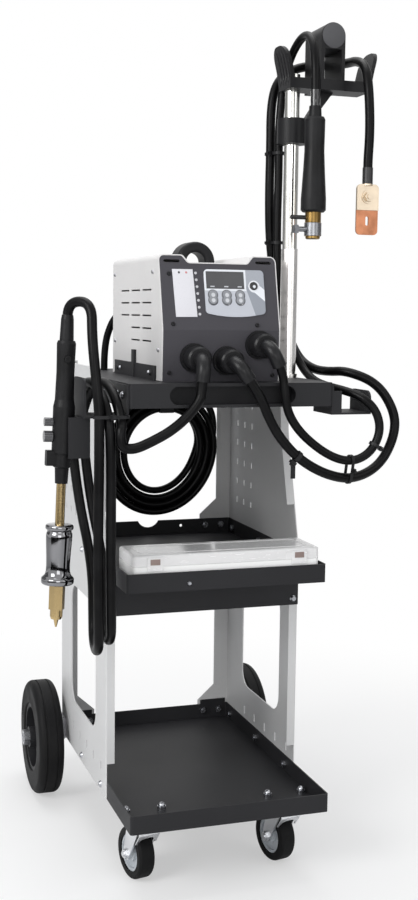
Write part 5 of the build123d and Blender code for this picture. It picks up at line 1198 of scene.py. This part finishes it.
# Camera from the photograph's fitted view
cameraFacts = {"place": (-0.60283, -1.97789, 0.86405), "yaw": 18.408, "pitch": 6.326, "roll": -0.689,
               "focal": 1256.13, "height": 900.0, "sensor": 36.0, "clip": (0.05, 50.0)}
yaw, pitch, roll = (math.radians(cameraFacts[k]) for k in ("yaw", "pitch", "roll"))
ahead = Vector((math.sin(yaw) * math.cos(pitch), math.cos(yaw) * math.cos(pitch), -math.sin(pitch)))
right = Vector((math.cos(yaw), -math.sin(yaw), 0))
down = ahead.cross(right)
across = right * math.cos(roll) + down * math.sin(roll)
under = down * math.cos(roll) - right * math.sin(roll)
lens = bpy.data.cameras.new("camera")
lens.sensor_width = cameraFacts["sensor"]
lens.lens = cameraFacts["focal"] / cameraFacts["height"] * cameraFacts["sensor"]
lens.clip_start, lens.clip_end = cameraFacts["clip"]
camera = bpy.data.objects.new("camera", lens)
turned = Matrix((across, -under, -ahead)).transposed().to_4x4()
camera.matrix_world = Matrix.Translation(cameraFacts["place"]) @ turned
scene.collection.objects.link(camera)
scene.camera = camera

# Floor that keeps the shadow near the object and turns white further out
floorFacts = {"size": 6.0, "cells": 8, "drop": -0.0005, "near": 0.35, "far": 1.3, "lift": 0.45, "rough": 0.85,
              "colours": ((0.9, 0.9, 0.9), (0.92, 0.92, 0.92)), "patches": 1.5}
floorFinish = Finish("floorFinish")
slow = floorFinish.noise(floorFacts["patches"], 2.0)
floorFinish.put(Base_Color=floorFinish.mix(slow, *floorFacts["colours"]), Roughness=floorFacts["rough"])
reach = floorFinish.axis("X").apart(floorFinish.axis("Y")).step(floorFacts["near"], floorFacts["far"])
seen = floorFinish.node("ShaderNodeLightPath", "Is Camera Ray")
share = seen * (floorFacts["lift"] + reach * (1 - floorFacts["lift"]))
painted = Sock(floorFinish, floorFinish.shader.outputs[0])
glow = floorFinish.node("ShaderNodeEmission")
both = floorFinish.node("ShaderNodeMixShader", places={0: share, 1: painted, 2: glow})
floorFinish.feed(floorFinish.tree.nodes["Material Output"].inputs[0], both)
mesh = bpy.data.meshes.new("floor")
work = bmesh.new()
cells = floorFacts["cells"]
bmesh.ops.create_grid(work, x_segments=cells, y_segments=cells, size=floorFacts["size"])
work.to_mesh(mesh)
work.free()
floor = bpy.data.objects.new("floor", mesh)
floor.location.z = floorFacts["drop"]
scene.collection.objects.link(floor)
mesh.materials.append(floorFinish.material)

# Screens bent round the studio, seen in the bright metal alone: a low dark one and two tall grey ones
screenFacts = {"radius": 3.0, "steps": 24, "hiddenFrom": ("camera", "diffuse", "transmission", "shadow",
                                                           "volume_scatter")}
screens = {
    "lowScreen": {"start": 188.0, "end": 352.0, "low": 0.0, "high": 0.5, "grey": 0.02},
    "rightScreen": {"start": 312.0, "end": 390.0, "low": 0.6, "high": 2.8, "grey": 0.4},
    "leftScreen": {"start": 105.0, "end": 165.0, "low": 0.6, "high": 2.8, "grey": 0.3},
}
for name, s in screens.items():
    screenFinish = Finish(name + "Finish")
    screenFinish.put(Base_Color=(s["grey"],) * 3, Roughness=1.0, Specular_IOR_Level=0.0)
    corners, faces = [], []
    for i in range(screenFacts["steps"] + 1):
        turn = math.radians(s["start"] + (s["end"] - s["start"]) * i / screenFacts["steps"])
        x, y = screenFacts["radius"] * math.cos(turn), screenFacts["radius"] * math.sin(turn)
        corners += [(x, y, s["low"]), (x, y, s["high"])]
    for i in range(0, 2 * screenFacts["steps"], 2):
        faces.append((i, i + 2, i + 3, i + 1))
    mesh = bpy.data.meshes.new(name)
    mesh.from_pydata(corners, [], faces)
    mesh.materials.append(screenFinish.material)
    screen = bpy.data.objects.new(name, mesh)
    scene.collection.objects.link(screen)
    for ray in screenFacts["hiddenFrom"]:
        setattr(screen, "visible_" + ray, False)

# Large soft lamps
lights = {
    "keyLight": {"place": (-2.5, -1.5, 2.0), "target": (0, 0, 0.6), "size": 1.5, "power": 58.0},
    "fillLight": {"place": (2.0, -2.2, 1.8), "target": (0, 0, 0.6), "size": 1.8, "power": 13.0},
    "topLight": {"place": (0.0, 0.3, 3.2), "target": (0, 0, 0.5), "size": 2.0, "power": 42.0},
    "frontLight": {"place": (-0.6, -3.2, 0.9), "target": (0, 0, 0.5), "size": 1.4, "power": 17.0},
}
for name, facts in lights.items():
    light = bpy.data.lights.new(name, "AREA")
    light.size, light.energy = facts["size"], facts["power"]
    lamp = bpy.data.objects.new(name, light)
    lamp.location = facts["place"]
    aim = Vector(facts["target"]) - Vector(facts["place"])
    lamp.rotation_euler = aim.to_track_quat("-Z", "Y").to_euler()
    scene.collection.objects.link(lamp)

# White behind the object, a soft light on it
skyFacts = {"soft": {"Color": (0.95, 0.97, 1.0), "Strength": 0.39},
            "white": {"Color": (1.0, 1.0, 1.0), "Strength": 1.0},
            "whiteTo": ("Is Camera Ray", "Is Transmission Ray", "Is Glossy Ray")}
world = bpy.data.worlds.new("studio")
scene.world = world
world.use_nodes = True
world.node_tree.nodes.clear()
sky = Tree(world.node_tree)
seen = anyOf([sky.node("ShaderNodeLightPath", ray) for ray in skyFacts["whiteTo"]])
soft, white = (sky.node("ShaderNodeBackground", **skyFacts[k]) for k in ("soft", "white"))
blend = sky.node("ShaderNodeMixShader", places={0: seen, 1: soft, 2: white})
result = sky.tree.nodes.new("ShaderNodeOutputWorld")
sky.feed(result.inputs[0], blend)
scene.view_settings.view_transform = "Standard"
print("stage ready")
